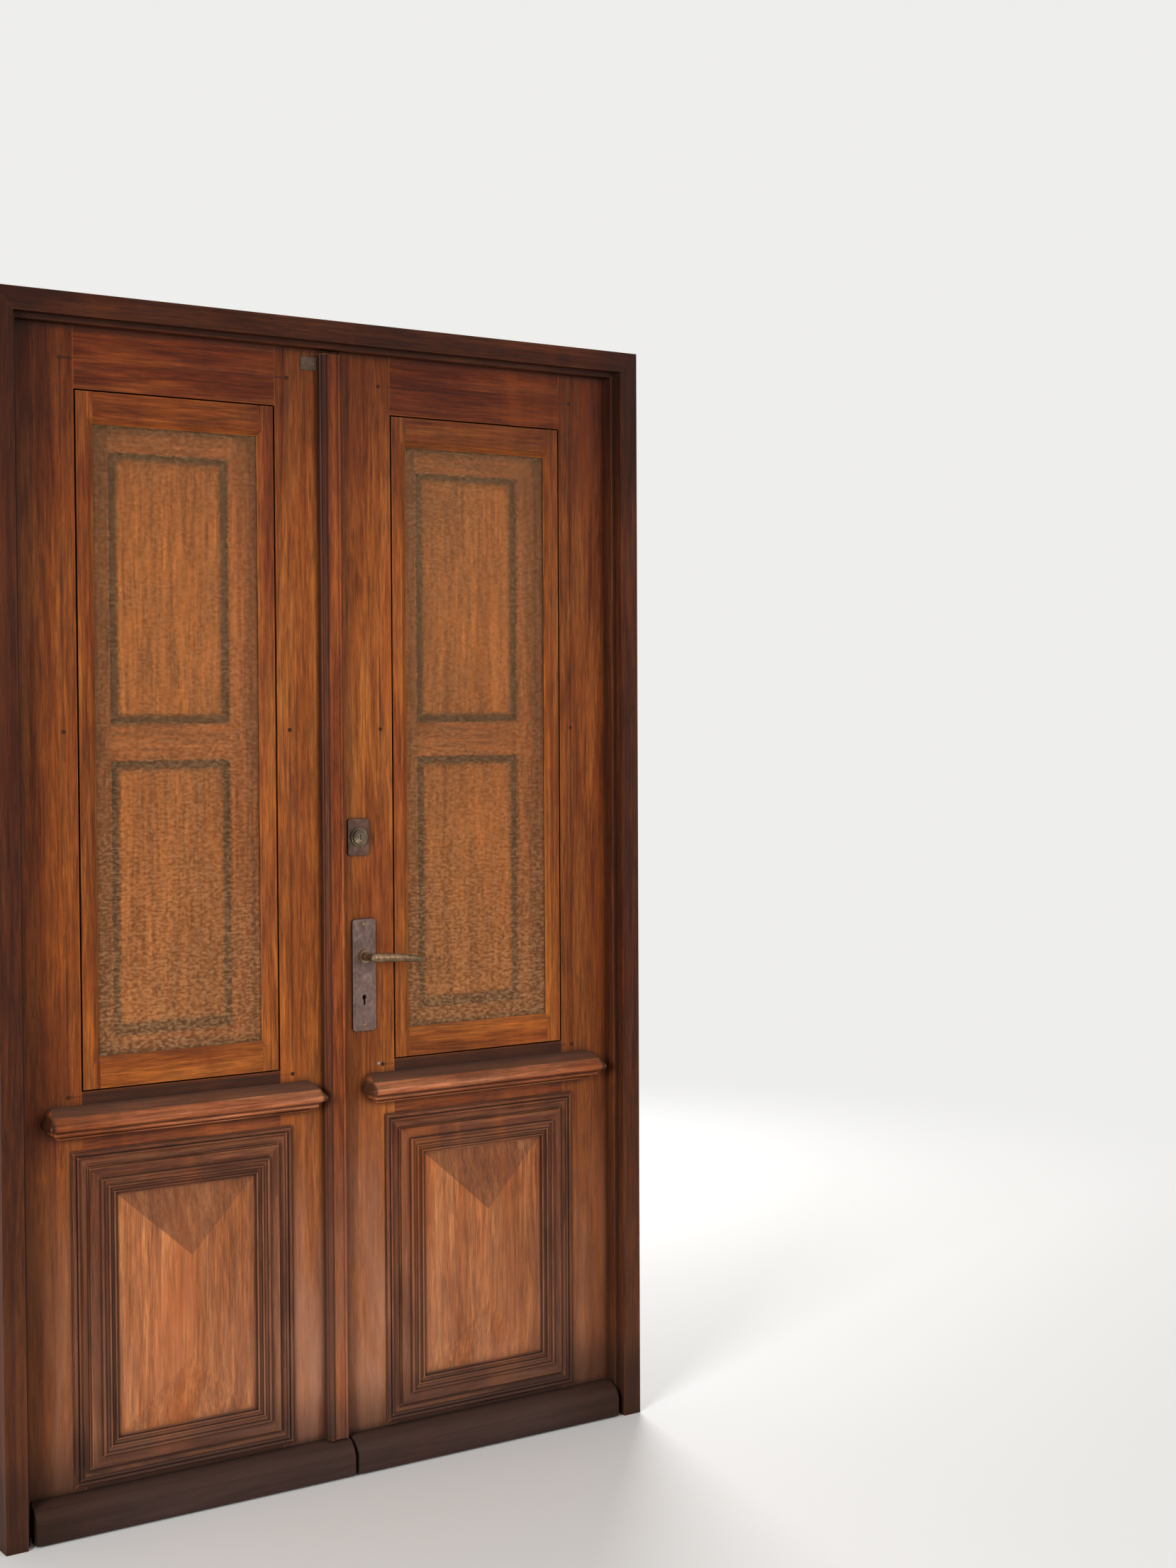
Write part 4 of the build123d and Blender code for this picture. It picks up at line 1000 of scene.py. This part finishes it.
def holeSpots(sign):
    # three on each long side of the stain line
    columns = (leafCentre - stainLine["halfWidth"], leafCentre + stainLine["halfWidth"])
    heights = (stainLine["middle"] - stainLine["halfHeight"],
               stainLine["middle"] - holeSize["middleDrop"],
               stainLine["middle"] + stainLine["halfHeight"])
    size = Matrix.Scale(holeSize["radius"], 4)
    return [Matrix.Translation((sign * x, 0, z)) @ size for x in columns for z in heights]


hole = holeMaster()
holeFinish = holeMaterial()
for side, sign in zip(sides, (1, -1)):
    placedCopies(hole, holeSpots(sign), side + "_old_holes", holeFinish, side + "_leaf")
bpy.data.objects.remove(hole)
print("holes done")


# pile weather strip let into the left leaf's meeting edge

stripSize = {"letIn": 0.0004, "clearance": 0.00005, "front": 0.0025, "back": 0.0080, "low": 0.008,
             "gap": 0.004, "nose": 0.0006, "noseSteps": 3}
stripLook = {"tones": (tone(22, 15, 12), tone(54, 40, 32)), "toneStops": (0.35, 0.65),
             "hairs": ((900, 900, 1400), 3.0, 0.6, 0.0, 0.0),
             "dirt": ((60, 60, 14), 4.0, 0.6, 0.0, 0.0), "dirtShades": (0.3, 0.7, 0.7, 1.2),
             "roughness": 0.9, "specular": 0.1, "bumpStrength": 0.5, "bumpDistance": 0.0004}


def stripMaterial():
    material, tree, shader = blankMaterial("weatherStrip")
    place = objectPlace(tree)
    hairs = cloud(tree, place, stripLook["hairs"])
    dirt = fade(tree, cloud(tree, place, stripLook["dirt"]), *stripLook["dirtShades"])
    colour = ramp(tree, hairs, stripLook["toneStops"], stripLook["tones"])
    feed(tree, shader, {
        "Base Color": scaleColour(tree, colour, dirt),
        "Roughness": stripLook["roughness"], "Specular IOR Level": stripLook["specular"],
        "Normal": bumped(tree, hairs, stripLook["bumpStrength"], stripLook["bumpDistance"])})
    return material


def makeStrip():
    low = stripSize["low"]
    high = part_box("left_stiles")[1][2] - stripSize["gap"]
    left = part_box("left_stiles")[1][0] - stripSize["letIn"]
    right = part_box("right_stiles")[0][0] - stripSize["clearance"]
    wide = right - left
    deep = stripSize["back"] - stripSize["front"]
    centre = (left + wide / 2, stripSize["front"] + deep / 2, (low + high) / 2)
    bpy.ops.mesh.primitive_cube_add(size=1.0, location=centre)
    strip = bpy.context.active_object
    strip.scale = (wide, deep, high - low)
    settleShape(strip)
    strip.name = "joint_strip"
    editFaces(strip, lambda face: True)
    bpy.ops.mesh.bevel(offset=stripSize["nose"], segments=stripSize["noseSteps"])
    doneEditing(strip)
    strip.data.materials.append(stripMaterial())
    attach(strip, "left_leaf")


makeStrip()
print("strip done")


# camera, as the door was seen

viewpoint = {
    "place": (-2.0265, -3.800, 1.488),
    "yaw": math.radians(34.63),
    "pitch": math.radians(-1.80),
    "roll": math.radians(-0.26),
    "lens": 50.34,
}


def makeCamera():
    yaw, pitch, roll = viewpoint["yaw"], viewpoint["pitch"], viewpoint["roll"]
    forward = Vector((math.sin(yaw) * math.cos(pitch), math.cos(yaw) * math.cos(pitch),
                      math.sin(pitch)))
    level = Vector((math.cos(yaw), -math.sin(yaw), 0.0))
    upright = level.cross(forward)
    right = level * math.cos(roll) + upright * math.sin(roll)
    up = upright * math.cos(roll) - level * math.sin(roll)
    data = bpy.data.cameras.new("camera")
    data.lens = viewpoint["lens"]
    camera = bpy.data.objects.new("camera", data)
    bpy.context.scene.collection.objects.link(camera)
    turn = Matrix((right, up, -forward)).transposed().to_4x4()
    camera.matrix_world = Matrix.Translation(viewpoint["place"]) @ turn
    bpy.context.scene.camera = camera


makeCamera()


# floor, sky and lamps

studio = {
    "paleTone": (0.86, 0.855, 0.84, 1.0),
    "floorSize": 120.0,
    "floorRoughness": 0.7,
    "fadeSpan": (1.8, 4.8),
    "skyTone": (1.0, 0.985, 0.96, 1.0),
    "skyLight": 0.34,
    "lamps": (
        # name, place, width in metres and power in watts
        ("keyLamp", (-5.4, -3.5, 2.3), 2.0, 400.0),
        ("fillLamp", (2.6, -5.0, 2.2), 3.0, 70.0),
        ("backLamp", (3.0, 4.6, 3.0), 2.8, 260.0),
    ),
    "target": (0.0, 0.0, 1.05),
}


def backdropRays(tree):
    rays = add(tree, "LightPath").outputs
    seen = larger(tree, rays["Is Camera Ray"], rays["Is Glossy Ray"])
    return larger(tree, seen, rays["Is Transmission Ray"])


def makeFloor():
    bpy.ops.mesh.primitive_plane_add(size=studio["floorSize"], location=(0, 0, 0))
    floor = bpy.context.active_object
    floor.name = "floor"
    material, tree, shader = blankMaterial("floorPaint")
    feed(tree, shader, {"Base Color": studio["paleTone"], "Roughness": studio["floorRoughness"]})
    place = objectPlace(tree)
    distance = add(tree, "VectorMath", {0: place}, operation="LENGTH").outputs["Value"]
    glowing = add(tree, "Emission", {"Color": studio["paleTone"], "Strength": 1.0})
    amount = times(tree, fade(tree, distance, *studio["fadeSpan"]), backdropRays(tree))
    mixed = blendShaders(tree, amount, shader, glowing)
    tree.links.new(mixed.outputs[0], tree.nodes["Material Output"].inputs["Surface"])
    floor.data.materials.append(material)


def makeSky():
    world = bpy.data.worlds.new("studio")
    world.use_nodes = True
    tree = world.node_tree
    light = tree.nodes["Background"]
    feed(tree, light, {"Color": studio["skyTone"], "Strength": studio["skyLight"]})
    shown = add(tree, "Background", {"Color": studio["paleTone"], "Strength": 1.0})
    mixed = blendShaders(tree, backdropRays(tree), light, shown)
    tree.links.new(mixed.outputs[0], tree.nodes["World Output"].inputs["Surface"])
    bpy.context.scene.world = world


def makeLamps():
    for name, place, size, power in studio["lamps"]:
        data = bpy.data.lights.new(name, "AREA")
        data.size = size
        data.energy = power
        lamp = bpy.data.objects.new(name, data)
        bpy.context.scene.collection.objects.link(lamp)
        aim = (Vector(studio["target"]) - Vector(place)).to_track_quat("-Z", "Y")
        lamp.matrix_world = Matrix.Translation(place) @ aim.to_matrix().to_4x4()


makeFloor()
makeSky()
makeLamps()
bpy.context.scene.view_settings.view_transform = "Standard"
print("studio done")
